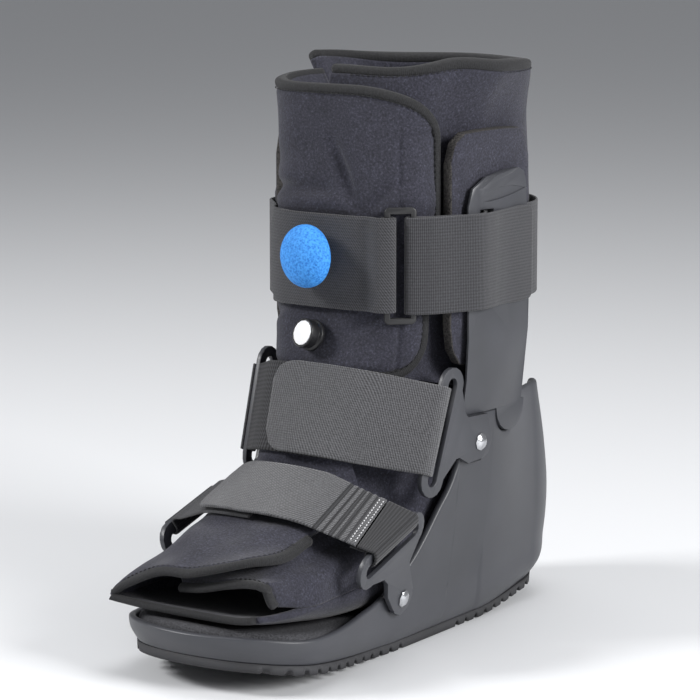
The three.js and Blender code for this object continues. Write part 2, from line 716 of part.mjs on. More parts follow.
function strutGeometry() {
  const footHeight = 18;
  const rings = [];
  strutRows.forEach((row, index) => {
    const z = index === 0 ? seatHeight + fitGap : row.up * strutTop;
    const front = row.front * soleLength;
    const rear = row.rear * soleLength;
    const outer = mix(shellFace, strutOuter, row.out);
    const crease = Math.min(mix(front, rear, 0.5), row.up > 0.95 ? front + 6 : 0.11 * soleLength);
    const places = [front, mix(front, crease, 0.6), crease, mix(crease, rear, 0.5), rear];
    const face = places.map((y, column) => new THREE.Vector3(outer - strutChamfer[column], y, z));
    const back = places.map((y) => new THREE.Vector3(outer - strutThickness, y, z)).reverse();
    rings.push([...face, ...back]);
  });
  const blade = loft(rings);
  const tongue = new THREE.Shape();
  tongue.absarc(tongueCentre, seatHeight, tongueRadius - fitGap, Math.PI, 0, false);
  tongue.lineTo(tongueCentre + tongueRadius - fitGap, seatHeight + 2);
  tongue.lineTo(tongueCentre - tongueRadius + fitGap, seatHeight + 2);
  const inside = shellFace - strutThickness;
  const footFront = shellRows[5].crease * soleLength + 3;
  const footBottom = seatHeight - footHeight;
  const narrowest = Math.min(shellSideAt(footFront, footBottom), shellSideAt(tongueCentre + 8, footBottom));
  const footOuter = narrowest - shellWall - 2 * fitGap;
  const footInner = footOuter - 0.5 * strutThickness;
  const foot = polygon([
    [footFront, seatHeight + 3], [footFront + 3, footBottom],
    [tongueCentre + 4, footBottom], [tongueCentre + 8, seatHeight + 3]]);
  const bridge = polygon([
    [footFront, seatHeight + fitGap], [tongueCentre + 8, seatHeight + fitGap],
    [tongueCentre + 8, seatHeight + 3], [footFront, seatHeight + 3]]);
  const whole = join([
    blade, sidePlate(tongue, inside, shellFace - 0.05), sidePlate(foot, footInner, footOuter),
    sidePlate(bridge, footInner, inside + 1)]);
  const slot = polygon([[-1, -1], [1, -1], [1, 1], [-1, 1]].map(([along, up]) => [
    slotCentre + along * strapSlotWidth / 2, strapHeight + up * slotHalf]));
  const lens = new THREE.Shape();
  lens.moveTo(0.06 * soleLength, 0.938 * strutTop);
  lens.quadraticCurveTo(0.13 * soleLength, 0.985 * strutTop, 0.218 * soleLength, 0.955 * strutTop);
  lens.quadraticCurveTo(0.14 * soleLength, 0.935 * strutTop, 0.06 * soleLength, 0.938 * strutTop);
  return cut(whole, [sidePlate(slot, strutInner - 5, strutOuter + 5),
    sidePlate(lens, strutOuter - 1, strutOuter + 2)]);
}

// The pad follows the liner's side, with round corners.
function padGeometry() {
  const corner = 16;
  const rings = [0, 0.05, 0.16, 0.38, 0.62, 0.84, 0.95, 1].map((share) => {
    const along = Math.min(share, 1 - share) * (padRear - padFront);
    const arc = 1 - Math.min(along / corner, 1);
    const pull = corner * (1 - Math.sqrt(1 - arc * arc));
    const y = mix(padFront, padRear, share);
    const degrees = THREE.MathUtils.radToDeg(Math.atan2(calfWidth / 2, calfCentre - y));
    const heights = steps(6, padTop - pull, padTop - padLength + pull);
    const outer = heights.map((height) => onLiner(degrees, placeAtHeight(height), lapGap + padThickness));
    const inner = heights.map((height) => onLiner(degrees, placeAtHeight(height), lapGap)).reverse();
    return [...outer, ...inner];
  });
  return loft(rings);
}

// A ring is a flat plate that leans with the shell: its middle plane is x = face + lean along Y and Z.
const ankleRing = {
  rivet: { y: 0.094 * soleLength, z: 0.851 * shellHeight },
  slotTop: { y: 0.0086 * soleLength, z: 1.126 * shellHeight },
  slotBottom: { y: -0.0433 * soleLength, z: 0.738 * shellHeight },
  corners: [[0.051 * soleLength, seatHeight], [0.051 * soleLength, 0.8 * shellHeight]],
  leanY: 0.06,
  leanZ: 0.024,
  endRadius: 9.5,
};
const toeRing = {
  rivet: { y: -0.114 * soleLength, z: 0.262 * shellHeight },
  slotTop: { y: -0.115 * soleLength, z: 0.562 * shellHeight },
  slotBottom: { y: -0.251 * soleLength, z: 0.45 * shellHeight },
  corners: [],
  leanY: -0.09,
  leanZ: 0.2,
  endRadius: 9.5,
};

// The shell's half width at any place and height on its side.
function shellSideAt(y, z) {
  const share = (z - shellBase(y)) / (shellHeight + 4 - shellBase(y));
  const found = shellRows.findIndex((row) => row.height >= share);
  const upper = Math.min(Math.max(found, 1), shellRows.length - 1);
  const lower = upper - 1;
  const part = (share - shellRows[lower].height) / (shellRows[upper].height - shellRows[lower].height);
  return mix(shellHalfWidth(y, shellRows[lower], 0), shellHalfWidth(y, shellRows[upper], 0), part);
}

// The ring's inner face plane: clear of the shell round its rivet.
function ringFace(ring, y, z) {
  const { rivet, leanY, leanZ } = ring;
  return ring.face + leanY * (y - rivet.y) + leanZ * (z - rivet.z);
}

for (const ring of [ankleRing, toeRing]) {
  ring.face = 0;
  let clear = 0;
  const round = steps(8, 0, 360).map((degrees) => [
    ring.rivet.y + ring.endRadius * turned(degrees).cosine,
    ring.rivet.z + ring.endRadius * turned(degrees).sine]);
  for (const [y, z] of [...round, ...ring.corners]) {
    clear = Math.max(clear, shellSideAt(y, z) - ringFace(ring, y, z));
  }
  ring.face = clear + fitGap;
}

function leaned(geometry, ring) {
  const place = geometry.getAttribute("position");
  for (let index = 0; index < place.count; index += 1) {
    place.setX(index, place.getX(index) + ringFace(ring, place.getY(index), place.getZ(index)));
  }
  return geometry;
}

function ringGeometry(ring, platePoints) {
  const top = { x: ring.slotTop.y, y: ring.slotTop.z };
  const bottom = { x: ring.slotBottom.y, y: ring.slotBottom.z };
  const loop = sidePlate(stadium(top, bottom, ringSlotWidth / 2 + ringBar), 0, ringThickness);
  const plate = sidePlate(polygon(platePoints), 0, ringThickness);
  const end = new THREE.Shape();
  end.absarc(ring.rivet.y, ring.rivet.z, ring.endRadius, 0, 2 * Math.PI, false);
  const boss = sidePlate(end, 0, ringThickness);
  const slot = sidePlate(stadium(top, bottom, ringSlotWidth / 2), -1, ringThickness + 1);
  const hole = new THREE.Shape();
  hole.absarc(ring.rivet.y, ring.rivet.z, rivetShank + fitGap + 0.6, 0, 2 * Math.PI, false);
  const flat = cut(join([loop, plate, boss]), [slot, sidePlate(hole, -1, ringThickness + 1)]);
  return leaned(flat, ring);
}

// Plate outlines between the slot bar and the rivet, as [along, up] from the rivet in rivet-end radii.
function platePoints(ring, offsets) {
  return offsets.map(([along, up]) => [
    ring.rivet.y + along * ring.endRadius, ring.rivet.z + up * ring.endRadius]);
}

function ankleRingGeometry() {
  return ringGeometry(ankleRing, platePoints(ankleRing, [
    [-1.82, 3.3], [-1.4, 1.72], [-1.15, 1.5], [0.6, 1.46], [0.98, 0.2], [0.1, -1], [-1.05, -1.02],
    [-1.85, -0.58], [-2.15, -0.62], [-3.35, -1.6], [-3.7, -1.2], [-2.35, 2.4]]));
}

function toeRingGeometry() {
  return ringGeometry(toeRing, platePoints(toeRing, [
    [0.75, 3.25], [0.02, 1.95], [0.3, 1.4], [0.96, 0.3], [0, -1], [-0.85, -0.52], [-1.72, 0.36],
    [-2, 1.18], [-2.45, 1.5], [-3.6, 1.5], [-3.7, 1.95], [-0.5, 3]]));
}

// The rivet stands square to the ring, through it and the shell wall.
function rivetPlace(ring) {
  const axis = new THREE.Vector3(1, -ring.leanY, -ring.leanZ).normalize();
  const seat = new THREE.Vector3(ring.face, ring.rivet.y, ring.rivet.z);
  const turn = new THREE.Quaternion().setFromUnitVectors(new THREE.Vector3(0, 1, 0), axis);
  return new THREE.Matrix4().compose(seat, turn, new THREE.Vector3(1, 1, 1));
}

function rivetGeometry(ring) {
  const seat = ringThickness + fitGap;
  const wallEnd = ring.face - shellSideAt(ring.rivet.y, ring.rivet.z) + shellWall + 2 * fitGap;
  const tail = 0.6;
  const profile = [[0, seat + 2.1], [0.6 * rivetRadius, seat + 1.6],
    [rivetRadius, seat + 0.2], [rivetRadius, seat], [rivetShank, seat], [rivetShank, -wallEnd],
    [1.5 * rivetShank, -wallEnd], [1.5 * rivetShank, -wallEnd - tail], [0, -wallEnd - tail], [0, seat + 2.1]];
  const outline = profile.map(([out, up]) => new THREE.Vector2(out, up)).reverse();
  const geometry = new THREE.LatheGeometry(outline, 8);
  return geometry.applyMatrix4(rivetPlace(ring));
}

function rivetHoles() {
  return [ankleRing, toeRing].flatMap((ring) => {
    const hole = new THREE.CylinderGeometry(rivetShank + fitGap, rivetShank + fitGap, 30, 10);
    hole.applyMatrix4(rivetPlace(ring));
    return [hole, mirrored(hole)];
  });
}

// Straps

// A flat band between two edge lines, thickened square to its surface.
function bandGeometry(edgeA, edgeB, thickness) {
  const rings = edgeA.map((start, index) => {
    const end = edgeB[index];
    const before = Math.max(index - 1, 0);
    const after = Math.min(index + 1, edgeA.length - 1);
    const along = edgeA[after].clone().sub(edgeA[before]).normalize()
      .add(edgeB[after].clone().sub(edgeB[before]).normalize());
    const square = along.cross(end.clone().sub(start)).normalize().multiplyScalar(thickness / 2);
    return [start.clone().add(square), end.clone().add(square),
      end.clone().sub(square), start.clone().sub(square)];
  });
  return loft(rings);
}

// A level band: a line in plan carried up over the strap's width, narrowed at its first stations.
function levelBand(plan, middle, width, thickness, narrowed = []) {
  const edges = [-1, 1].map((side) => plan.map(([x, y], index) => (
    new THREE.Vector3(x, y, middle + side * (narrowed[index] ?? 1) * width / 2))));
  return bandGeometry(edges[0], edges[1], thickness);
}

const strapPlace = placeAtHeight(strapHeight);
const loopAngle = 32.5;

// Plan point on the calf at the strap's height.
function aroundCalf(degrees, lift) {
  const point = onLiner(degrees, strapPlace, lift);
  return [point.x, point.y];
}

// The loop's own frame: its middle, the direction along the strap and the direction away from the calf.
function loopFrame() {
  const near = new THREE.Vector2(...aroundCalf(loopAngle, 0));
  const along = new THREE.Vector2(...aroundCalf(loopAngle + 5, 0));
  along.sub(new THREE.Vector2(...aroundCalf(loopAngle - 5, 0))).normalize();
  const away = new THREE.Vector2(along.y, -along.x);
  const lift = strapThickness + 4 * fitGap + lapGap + loopThickness / 2;
  return { middle: near.addScaledVector(away, lift), along, away };
}

function inLoop(along, away) {
  const frame = loopFrame();
  const point = frame.middle.clone().addScaledVector(frame.along, along).addScaledVector(frame.away, away);
  return [point.x, point.y];
}

const loopHalf = loopOpening / 2 + loopBar;
const foldLift = loopThickness / 2 + 2 * fitGap + strapThickness / 2;

// The fold of a strap round a bar of the loop, from its inner side to its outer side. side: +1 or -1.
function foldRoundBar(side) {
  const start = side * (loopOpening / 2 + fitGap);
  return [-90, -45, 0, 45, 90].map((degrees) => {
    const { sine, cosine } = turned(degrees);
    return inLoop(start - side * foldLift * cosine, foldLift * sine);
  });
}

function calfStrapPlan() {
  const inner = strapBehind;
  const outside = strutOuter + fitGap + strapThickness / 2;
  const layer = strapThickness + fitGap;
  const slotFront = slotCentre - strapSlotWidth / 2;
  const slotRear = slotCentre + strapSlotWidth / 2;
  const wayRound = steps(14, 103, 257).map((degrees) => {
    const beside = smooth(148, 124, Math.min(degrees, 360 - degrees));
    return aroundCalf(degrees, mix(strapLift, inner - calfWidth / 2, beside));
  });
  const through = [[outside + 0.3, slotFront - 3], [outside - 0.5, slotFront + 1.4],
    [inner + 0.1, slotRear - 2.2], [inner, slotRear + 3]];
  const padDegrees = THREE.MathUtils.radToDeg(Math.atan2(calfWidth / 2, calfCentre - padFront));
  const padCorner = aroundCalf(padDegrees, lapGap + padThickness);
  const overPad = [padCorner[0] + strapThickness, padCorner[1] - strapThickness / 2];
  const strutEdge = [strutOuter - strutChamfer[0] + strapThickness, 0.0465 * soleLength - strapThickness];
  const leftFront = [-22, -32, -42].map((degrees) => aroundCalf(degrees, strapLift));
  const rightFront = [strutEdge, overPad, inLoop(loopHalf + 4, -foldLift)];
  const overCorner = [padCorner[0] + 3.2 * strapThickness, padCorner[1] - 1.6 * strapThickness];
  const overStrut = [inLoop(loopHalf + 4, foldLift), overCorner, [outside + layer + 0.3, slotFront - 4],
    [outside + layer - 0.1, slotCentre], [outside + 0.5, slotRear + 3], [outside, slotRear + 8],
    [outside, 0.213 * soleLength], [outside, 0.227 * soleLength], [outside, 0.232 * soleLength]];
  return [...leftFront, [-overPad[0], overPad[1]], [-strutEdge[0], strutEdge[1]],
    ...through.map(([x, y]) => [-x, y]),
    ...wayRound.slice().reverse(),
    ...through.slice().reverse(),
    ...rightFront,
    ...foldRoundBar(1),
    ...overStrut];
}

function calfStrapGeometry() {
  return levelBand(calfStrapPlan().reverse(), strapHeight, strapWidth, strapThickness, [0.9, 0.97]);
}

const panelEnd = -31;
function pumpPanelGeometry() {
  const lift = strapLift + strapThickness + fitGap;
  const angles = [panelEnd, panelEnd + 1.2, panelEnd + 4, panelEnd + 8, -15, -7, 2, 9, 15, 20];
  const across = angles.map((degrees) => aroundCalf(degrees, lift));
  const plan = [...across, inLoop(-loopHalf - 1, foldLift), ...foldRoundBar(-1).reverse(),
    inLoop(-loopHalf - 1, -foldLift)];
  return levelBand(plan, strapHeight + 0.6, strapWidth - 1, strapThickness, [0.5, 0.72, 0.93]);
}

function strapLoopGeometry() {
  const frame = loopFrame();
  const [halfWide, halfHigh] = [loopHalf, strapWidth / 2 + 5];
  const outline = new THREE.Shape();
  const corner = 2.5;
  outline.absarc(-halfWide + corner, -halfHigh + corner, corner, Math.PI, 1.5 * Math.PI, false);
  outline.absarc(halfWide - corner, -halfHigh + corner, corner, 1.5 * Math.PI, 2 * Math.PI, false);
  outline.absarc(halfWide - corner, halfHigh - corner, corner, 0, 0.5 * Math.PI, false);
  outline.absarc(-halfWide + corner, halfHigh - corner, corner, 0.5 * Math.PI, Math.PI, false);
  const inHigh = strapWidth / 2 + 1.6;
  outline.holes.push(new THREE.Path([
    new THREE.Vector2(-loopOpening / 2, -inHigh), new THREE.Vector2(-loopOpening / 2, inHigh),
    new THREE.Vector2(loopOpening / 2, inHigh), new THREE.Vector2(loopOpening / 2, -inHigh)]));
  const settings = { depth: loopThickness, bevelEnabled: false, curveSegments: 3 };
  const geometry = new THREE.ExtrudeGeometry(outline, settings);
  geometry.translate(0, 0, -loopThickness / 2);
  geometry.applyMatrix4(new THREE.Matrix4().makeBasis(
    new THREE.Vector3(frame.along.x, frame.along.y, 0), new THREE.Vector3(0, 0, 1),
    new THREE.Vector3(frame.away.x, frame.away.y, 0)));
  return geometry.translate(frame.middle.x, frame.middle.y, strapHeight);
}

// A point on a ring's bar. share: 0 at the slot's top to 1 at its bottom, back: distance from the slot's
// front edge towards its rear, out: distance from the plate's middle plane.
function onRing(ring, share, back, out) {
  const [top, bottom] = [ring.slotTop, ring.slotBottom];
  const down = new THREE.Vector2(bottom.y - top.y, bottom.z - top.z).normalize();
  const rear = new THREE.Vector2(-down.y, down.x);
  if (rear.x < 0) {
    rear.negate();
  }
  const y = mix(top.y, bottom.y, share) + rear.x * (back - ringSlotWidth / 2);
  const z = mix(top.z, bottom.z, share) + rear.y * (back - ringSlotWidth / 2);
  return new THREE.Vector3(ringFace(ring, y, z) + ringThickness / 2 + out, y, z);
}

const onLeft = (point) => new THREE.Vector3(-point.x, point.y, point.z);

// A strap's edge over the foot. share: where along the ring's bar it ends, place: row of the liner's table at
// the middle of the foot, slant: how it drifts along the foot towards the ring, raised: by how much it stands
// off further, so that the flat strap clears the round instep.
const ankleEdges = [
  { share: 0.04, place: 4.97, slant: 0.04, raised: 1.2 },
  { share: 0.97, place: 7.18, slant: 0.04, raised: 1.2 },
];
const toeEdges = [
  { share: 0.03, place: 7.62, slant: 0.4, raised: 0 },
  { share: 0.97, place: 10.9, slant: 0.04, raised: 0 },
];
const ringReach = ringThickness / 2 + 2 * fitGap + strapThickness / 2;
const upperLift = strapLift + strapThickness + 6.5 * fitGap;

function onFoot(edge, degrees, lift) {
  return onLiner(degrees, edge.place + edge.slant * (degrees / 30) ** 2, lift + edge.raised);
}

// The angle at which a straight line to the ring leaves the foot.
function leavingAngle(ring, edge, lift, bar) {
  let degrees = 8;
  while (degrees < 70) {
    const foot = onFoot(edge, degrees, lift);
    const away = onFoot(edge, degrees, lift + 1).sub(foot);
    if (bar.clone().sub(foot).dot(away) > 0) {
      break;
    }
    degrees += 1;
  }
  return degrees;
}

// A point of a strap's edge. along: degrees round the foot as far as the strap lies on it, and at the same
// rate along the straight stretch to the ring's bar, which it reaches at 90.
function edgePoint(ring, edge, lift, out, along) {
  const bar = onRing(ring, edge.share, -ringBar - 1, out);
  const leaving = leavingAngle(ring, edge, lift, bar);
  const foot = onFoot(edge, Math.min(along, leaving), lift);
  return foot.lerp(bar, Math.max(along - leaving, 0) / (90 - leaving));
}

// Stations of a strap's lower and top layer on their way to the ring.
const lowerLayer = (ring, edge, stations) => (
  stations.map((along) => edgePoint(ring, edge, strapLift, -ringReach, along)));
const topLayer = (ring, edge, stations) => (
  stations.map((along) => edgePoint(ring, edge, upperLift, ringReach, along)));
const toRing = [0, 10, 20, 30, 42, 56, 72, 90];

// The fold round a ring's front bar, from inside to outside of the plate.
function ringFold(ring, share) {
  return [-90, -40, 0, 40, 90].map((degrees) => {
    const { sine, cosine } = turned(degrees);
    return onRing(ring, share, (fitGap + strapThickness / 2 + 0.5) * cosine - 0.3, ringReach * sine);
  });
}

// The lower layer of a strap on the left: from the outer end of its fold round the left ring to the middle.
function leftLower(ring, edge) {
  const tail = onLeft(onRing(ring, edge.share, -ringBar + 0.6, ringReach));
  const fold = ringFold(ring, edge.share).reverse().map(onLeft);
  return [tail, ...fold, ...lowerLayer(ring, edge, toRing).reverse().map(onLeft)];
}

// The top layer's free end on the left, its corners rounded: how far along its upper and lower edge each
// station lies, and its width.
const ankleTip = [
  { upper: 6, lower: 2, width: 1 },
  { upper: 11, lower: 4.5, width: 0.93 },
  { upper: 14, lower: 6, width: 0.8 },
  { upper: 15.5, lower: 7, width: 0.58 },
];
const toeTip = [
  { upper: 10, lower: 10, width: 1 },
  { upper: 20, lower: 20, width: 1 },
  { upper: 27, lower: 27, width: 0.93 },
  { upper: 31, lower: 31, width: 0.62 },
];

function tipEdges(ring, tip, edges) {
  const pairs = tip.map(({ upper, lower, width }) => {
    const ends = [upper, lower].map((along, side) => onLeft(topLayer(ring, edges[side], [along])[0]));
    const middle = ends[0].clone().add(ends[1]).multiplyScalar(0.5);
    return ends.map((end) => middle.clone().lerp(end, width));
  });
  return [0, 1].map((side) => pairs.map((pair) => pair[side]));
}

// The ankle strap: from the left bar under the top layer to the right bar, round it and back over the foot.
function ankleStrapGeometry() {
  const tips = tipEdges(ankleRing, ankleTip, ankleEdges);
  const lines = ankleEdges.map((edge, side) => [
    ...leftLower(ankleRing, edge),
    ...lowerLayer(ankleRing, edge, toRing).slice(1),
    ...ringFold(ankleRing, edge.share),
    ...topLayer(ankleRing, edge, toRing).reverse(),
    ...tips[side]]);
  return bandGeometry(lines[0], lines[1], strapThickness);
}

// The seam between the pile strap and the elastic crosses the strap aslant. degrees: on each edge.
const toeSeam = [66, 76];
const toeSeamGap = 1.6;

// The elastic: sewn to the strap's right end, over the bar of the right ring and back under itself.
function toeElasticGeometry() {
  const lines = toeEdges.map((edge, side) => {
    const stations = steps(4, toeSeam[side], 90);
    return [
      ...topLayer(toeRing, edge, stations),
      ...ringFold(toeRing, edge.share).reverse(),
      ...lowerLayer(toeRing, edge, stations).reverse()];
  });
  return bandGeometry(lines[0], lines[1], strapThickness);
}

// The pile strap: from the elastic's seam over the foot to its round end beside the left ring.
function toeStrapGeometry() {
  const tips = tipEdges(toeRing, toeTip, toeEdges);
  const lines = toeEdges.map((edge, side) => [
    ...topLayer(toeRing, edge, steps(9, toeSeam[side] - toeSeamGap, 0)),
    ...tips[side]]);
  return bandGeometry(lines[0], lines[1], strapThickness);
}

// The under strap: folded round the left ring's bar, its hook face lying under the pile strap.
function toeUnderGeometry() {
  const lines = toeEdges.map((edge) => [...leftLower(toeRing, edge), onFoot(edge, 4, strapLift)]);
  return bandGeometry(lines[0], lines[1], strapThickness);
}

// Pump bulb and valve

// A frame that stands on the calf. turnedBy: degrees round Z away from the surface's own outward direction.
function standingOn(degrees, place, lift, turnedBy) {
  const foot = onLiner(degrees, place, lift);
  const away = onLiner(degrees, place, lift + 1).sub(foot).normalize();
  away.applyAxisAngle(new THREE.Vector3(0, 0, 1), THREE.MathUtils.degToRad(-turnedBy));
  const turn = new THREE.Quaternion().setFromUnitVectors(new THREE.Vector3(0, 1, 0), away);
  return new THREE.Matrix4().compose(foot, turn, new THREE.Vector3(1, 1, 1));
}

function lathe(profile, sides) {
  return new THREE.LatheGeometry(profile.map(([out, up]) => new THREE.Vector2(out, up)), sides);
}

const bulbAngle = -0.8;
const bulbTurn = 13;
function bulbGeometry() {
  const sink = (0.35 + turned(bulbTurn).sine) * bulbRadius;
  const profile = [[0, 0]];
  for (const degrees of steps(7, 118, 0)) {
    const { sine, cosine } = turned(degrees);
    const up = Math.max(sink + bulbFlatness * bulbRadius * cosine, 0);
    profile.push([degrees === 0 ? 0 : bulbRadius * sine, up]);
  }
  profile.push([0, 0]);
  const lift = strapLift + 1.5 * strapThickness + 2 * fitGap;
  return lathe(profile, 16).applyMatrix4(standingOn(bulbAngle, placeAtHeight(bulbHeight), lift, bulbTurn));
}

const valveAngle = -3.6;
const buttonRadius = 0.85 * valveRadius;
const buttonDepth = 2.4;
const valveTurn = 12.5;
const valveLift = lapGap + fitGap + 1.1 * valveRadius * turned(valveTurn).sine;
const valveSeat = standingOn(valveAngle, placeAtHeight(valveHeight), valveLift, valveTurn);

function valveBodyGeometry() {
  const floor = valveLength - buttonDepth - buttonTravel - fitGap;
  return lathe([[0, 0], [1.1 * valveRadius, 0], [1.1 * valveRadius, 1.6], [0.9 * valveRadius, 2.4],
    [valveRadius, 3.2], [valveRadius, valveLength - 0.4], [0.94 * valveRadius, valveLength],
    [buttonRadius + fitGap, valveLength], [buttonRadius + fitGap, floor], [0, floor], [0, 0]], 14)
    .applyMatrix4(valveSeat);
}

function valveButtonGeometry() {
  const base = valveLength - buttonDepth;
  return lathe([[0, base], [buttonRadius, base], [buttonRadius, base + buttonDepth],
    [0, base + buttonDepth + 0.4], [0, base]], 14)
    .applyMatrix4(valveSeat);
}

// Assembly

const boot = new THREE.Group();

function addPiece(name, geometry, material) {
  const mesh = new THREE.Mesh(geometry, material);
  mesh.name = name;
  boot.add(mesh);
}

function addPair(name, geometry, material) {
  addPiece(`${name}_right`, geometry, material);
  addPiece(`${name}_left`, mirrored(geometry), material);
}

addPiece("shell", shellGeometry(), plastic);
addPiece("outsole", outsoleGeometry(), tread);
addPiece("insole", insoleGeometry(), felt);
addPiece("liner_body", linerBodyGeometry(), felt);
addPiece("calf_flap", calfFlapGeometry(), felt);
addPiece("foot_flap_left", footFlapGeometry(leftFlap), felt);
addPiece("foot_flap_right", footFlapGeometry(rightFlap), felt);
addPiece("binding_rim", rimBindingGeometry(), tape);
addPiece("binding_flap", flapBindingGeometry(), tape);
addPiece("binding_foot_left", footBindingGeometry(leftFlap, 1), tape);
addPiece("binding_foot_right", footBindingGeometry(rightFlap, -1), tape);
addPiece("binding_lip", lipBindingGeometry(), tape);
addPair("upright", strutGeometry(), plastic);
addPair("upright_pad", padGeometry(), felt);
addPair("ankle_ring", ankleRingGeometry(), plastic);
addPair("toe_ring", toeRingGeometry(), plastic);
addPair("rivet_ankle", rivetGeometry(ankleRing), steel);
addPair("rivet_toe", rivetGeometry(toeRing), steel);
addPiece("calf_strap", calfStrapGeometry(), webbing);
addPiece("pump_panel", pumpPanelGeometry(), webbing);
addPiece("strap_loop", strapLoopGeometry(), plastic);
addPiece("ankle_strap", ankleStrapGeometry(), pile);
addPiece("toe_strap", toeStrapGeometry(), pile);
addPiece("toe_strap_elastic", toeElasticGeometry(), ribbed);
addPiece("toe_strap_under", toeUnderGeometry(), webbing);
addPiece("pump_bulb", bulbGeometry(), bulbFoam);
addPiece("valve_body", valveBodyGeometry(), plastic);
addPiece("valve_button", valveButtonGeometry(), whitePlastic);

// The origin lies under the middle of the whole boot, on the ground.
const bounds = new THREE.Box3().setFromObject(boot);
const middle = bounds.getCenter(new THREE.Vector3());
boot.position.set(-middle.x, -middle.y, -bounds.min.z);
boot.updateMatrixWorld(true);

export default boot;
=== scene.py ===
import itertools
import json
import math
import bmesh
import bpy
import numpy as np
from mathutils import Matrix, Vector

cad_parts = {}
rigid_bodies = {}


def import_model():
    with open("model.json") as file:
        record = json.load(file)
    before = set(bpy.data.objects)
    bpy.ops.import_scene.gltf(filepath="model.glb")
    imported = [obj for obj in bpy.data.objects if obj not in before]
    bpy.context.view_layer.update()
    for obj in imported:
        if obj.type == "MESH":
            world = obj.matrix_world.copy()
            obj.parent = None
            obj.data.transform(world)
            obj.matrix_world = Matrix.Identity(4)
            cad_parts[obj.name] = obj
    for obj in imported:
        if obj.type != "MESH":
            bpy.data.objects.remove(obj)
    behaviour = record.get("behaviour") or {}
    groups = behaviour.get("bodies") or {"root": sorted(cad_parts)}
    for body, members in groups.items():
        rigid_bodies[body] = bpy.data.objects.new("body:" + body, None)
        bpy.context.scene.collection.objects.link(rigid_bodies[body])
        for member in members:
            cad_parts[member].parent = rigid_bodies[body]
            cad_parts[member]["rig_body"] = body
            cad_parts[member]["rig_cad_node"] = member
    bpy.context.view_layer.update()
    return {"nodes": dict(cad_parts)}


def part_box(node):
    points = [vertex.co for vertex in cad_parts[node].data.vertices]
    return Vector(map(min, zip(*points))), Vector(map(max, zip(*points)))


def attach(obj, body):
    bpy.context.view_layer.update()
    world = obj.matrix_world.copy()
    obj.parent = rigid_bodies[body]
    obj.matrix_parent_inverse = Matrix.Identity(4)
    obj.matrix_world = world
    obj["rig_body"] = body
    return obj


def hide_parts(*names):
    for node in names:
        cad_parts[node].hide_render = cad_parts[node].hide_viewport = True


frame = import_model()

# A short walking boot. Sizes are in millimetres with the toe along -Y, and metres turns them to the frame's.
boot = {
    "soleLength": 291, "ballWidth": 107.4, "heelWidth": 89, "shellTopWidth": 114.6, "shellHeight": 117.5,
    "shellWall": 3.5, "treadThickness": 4.7, "treadGroove": 2.4, "toeSpring": 14, "heelSpring": 13,
    "insoleThickness": 11, "fitGap": 0.3, "lapGap": 0.8, "linerHeight": 286, "linerWall": 7,
    "calfWidth": 98, "rimWidth": 124, "footWidth": 92, "bindingWidth": 4.5, "flapDrop": 9.5,
    "strapWidth": 48, "strapHeight": 193, "strapThickness": 1.5,
}
half = boot["soleLength"] / 2
ballLine = -0.352 * boot["soleLength"]
heelLine = 0.349 * boot["soleLength"]
flatFront = -0.086 * boot["soleLength"]
flatRear = 0.155 * boot["soleLength"]

# The frame's origin lies under the middle of the whole boot, so the tread's box says how far that is.
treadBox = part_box("outsole")
treadToe = ballLine - (0.975 * half + ballLine) * math.cos(math.radians(3))
frameShift = np.array([(treadBox[0][0] + treadBox[1][0]) * 500, treadBox[0][1] * 1000 - treadToe, 0])


def metres(points):
    # the boot's own millimetres moved to the frame's origin and divided by a thousand
    return (np.asarray(points, float) + frameShift) * 0.001


# Curves and tables

def smoothStep(start, end, value):
    # zero before the start, one past the end, and a cubic without a kink between them
    share = np.clip((value - start) / (end - start), 0, 1)
    return share * share * (3 - 2 * share)


def curveThrough(places, values, at):
    # a cubic between each two points, whose slope at a point is the mean of the slopes on its two sides
    places, values, at = np.asarray(places, float), np.asarray(values, float), np.asarray(at, float)
    slope = np.gradient(values, places)
    index = np.clip(np.searchsorted(places, at) - 1, 0, len(places) - 2)
    width = places[index + 1] - places[index]
    t = np.clip((at - places[index]) / width, 0, 1)
    return ((1 + 2 * t) * (1 - t) ** 2 * values[index] + t * (1 - t) ** 2 * width * slope[index]
            + t * t * (3 - 2 * t) * values[index + 1] + t * t * (t - 1) * width * slope[index + 1])


def unit(vectors):
    # each vector divided by its own length
    return vectors / np.maximum(np.linalg.norm(vectors, axis=-1, keepdims=True), 1e-9)


def waves(points, size, seed):
    # soft random relief of about one unit: a sum of nine sine waves in random directions, size in millimetres
    random = np.random.default_rng(seed)
    directions = unit(random.normal(size=(9, 3)))
    phases = random.uniform(0, 2 * math.pi, 9)
    lengths = size * random.uniform(0.6, 1.6, 9)
    total = sum(np.sin(points @ direction * (2 * math.pi / length) + phase)
                for direction, length, phase in zip(directions, lengths, phases))
    return total / 3


# Meshes

def newPiece(name, points, faces, material, uv=None):
    # a smooth mesh at the origin, its doubles merged and its faces turned outwards
    mesh = bpy.data.meshes.new(name)
    mesh.from_pydata(metres(points).tolist(), [], faces)
    mesh.update()
    if uv is not None:
        corners = np.empty(len(mesh.loops), np.int32)
        mesh.loops.foreach_get("vertex_index", corners)
        layer = mesh.uv_layers.new(name="surface")
        layer.data.foreach_set("uv", np.asarray(uv, np.float32)[corners].ravel())
    mesh.polygons.foreach_set("use_smooth", np.full(len(mesh.polygons), True))
    piece = bpy.data.objects.new(name, mesh)
    bpy.context.scene.collection.objects.link(piece)
    mesh.materials.append(material)
    weld = bmesh.new()
    weld.from_mesh(mesh)
    bmesh.ops.remove_doubles(weld, verts=weld.verts, dist=1e-6)
    bmesh.ops.recalc_face_normals(weld, faces=weld.faces)
    weld.to_mesh(mesh)
    weld.free()
    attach(piece, "boot")
    return piece


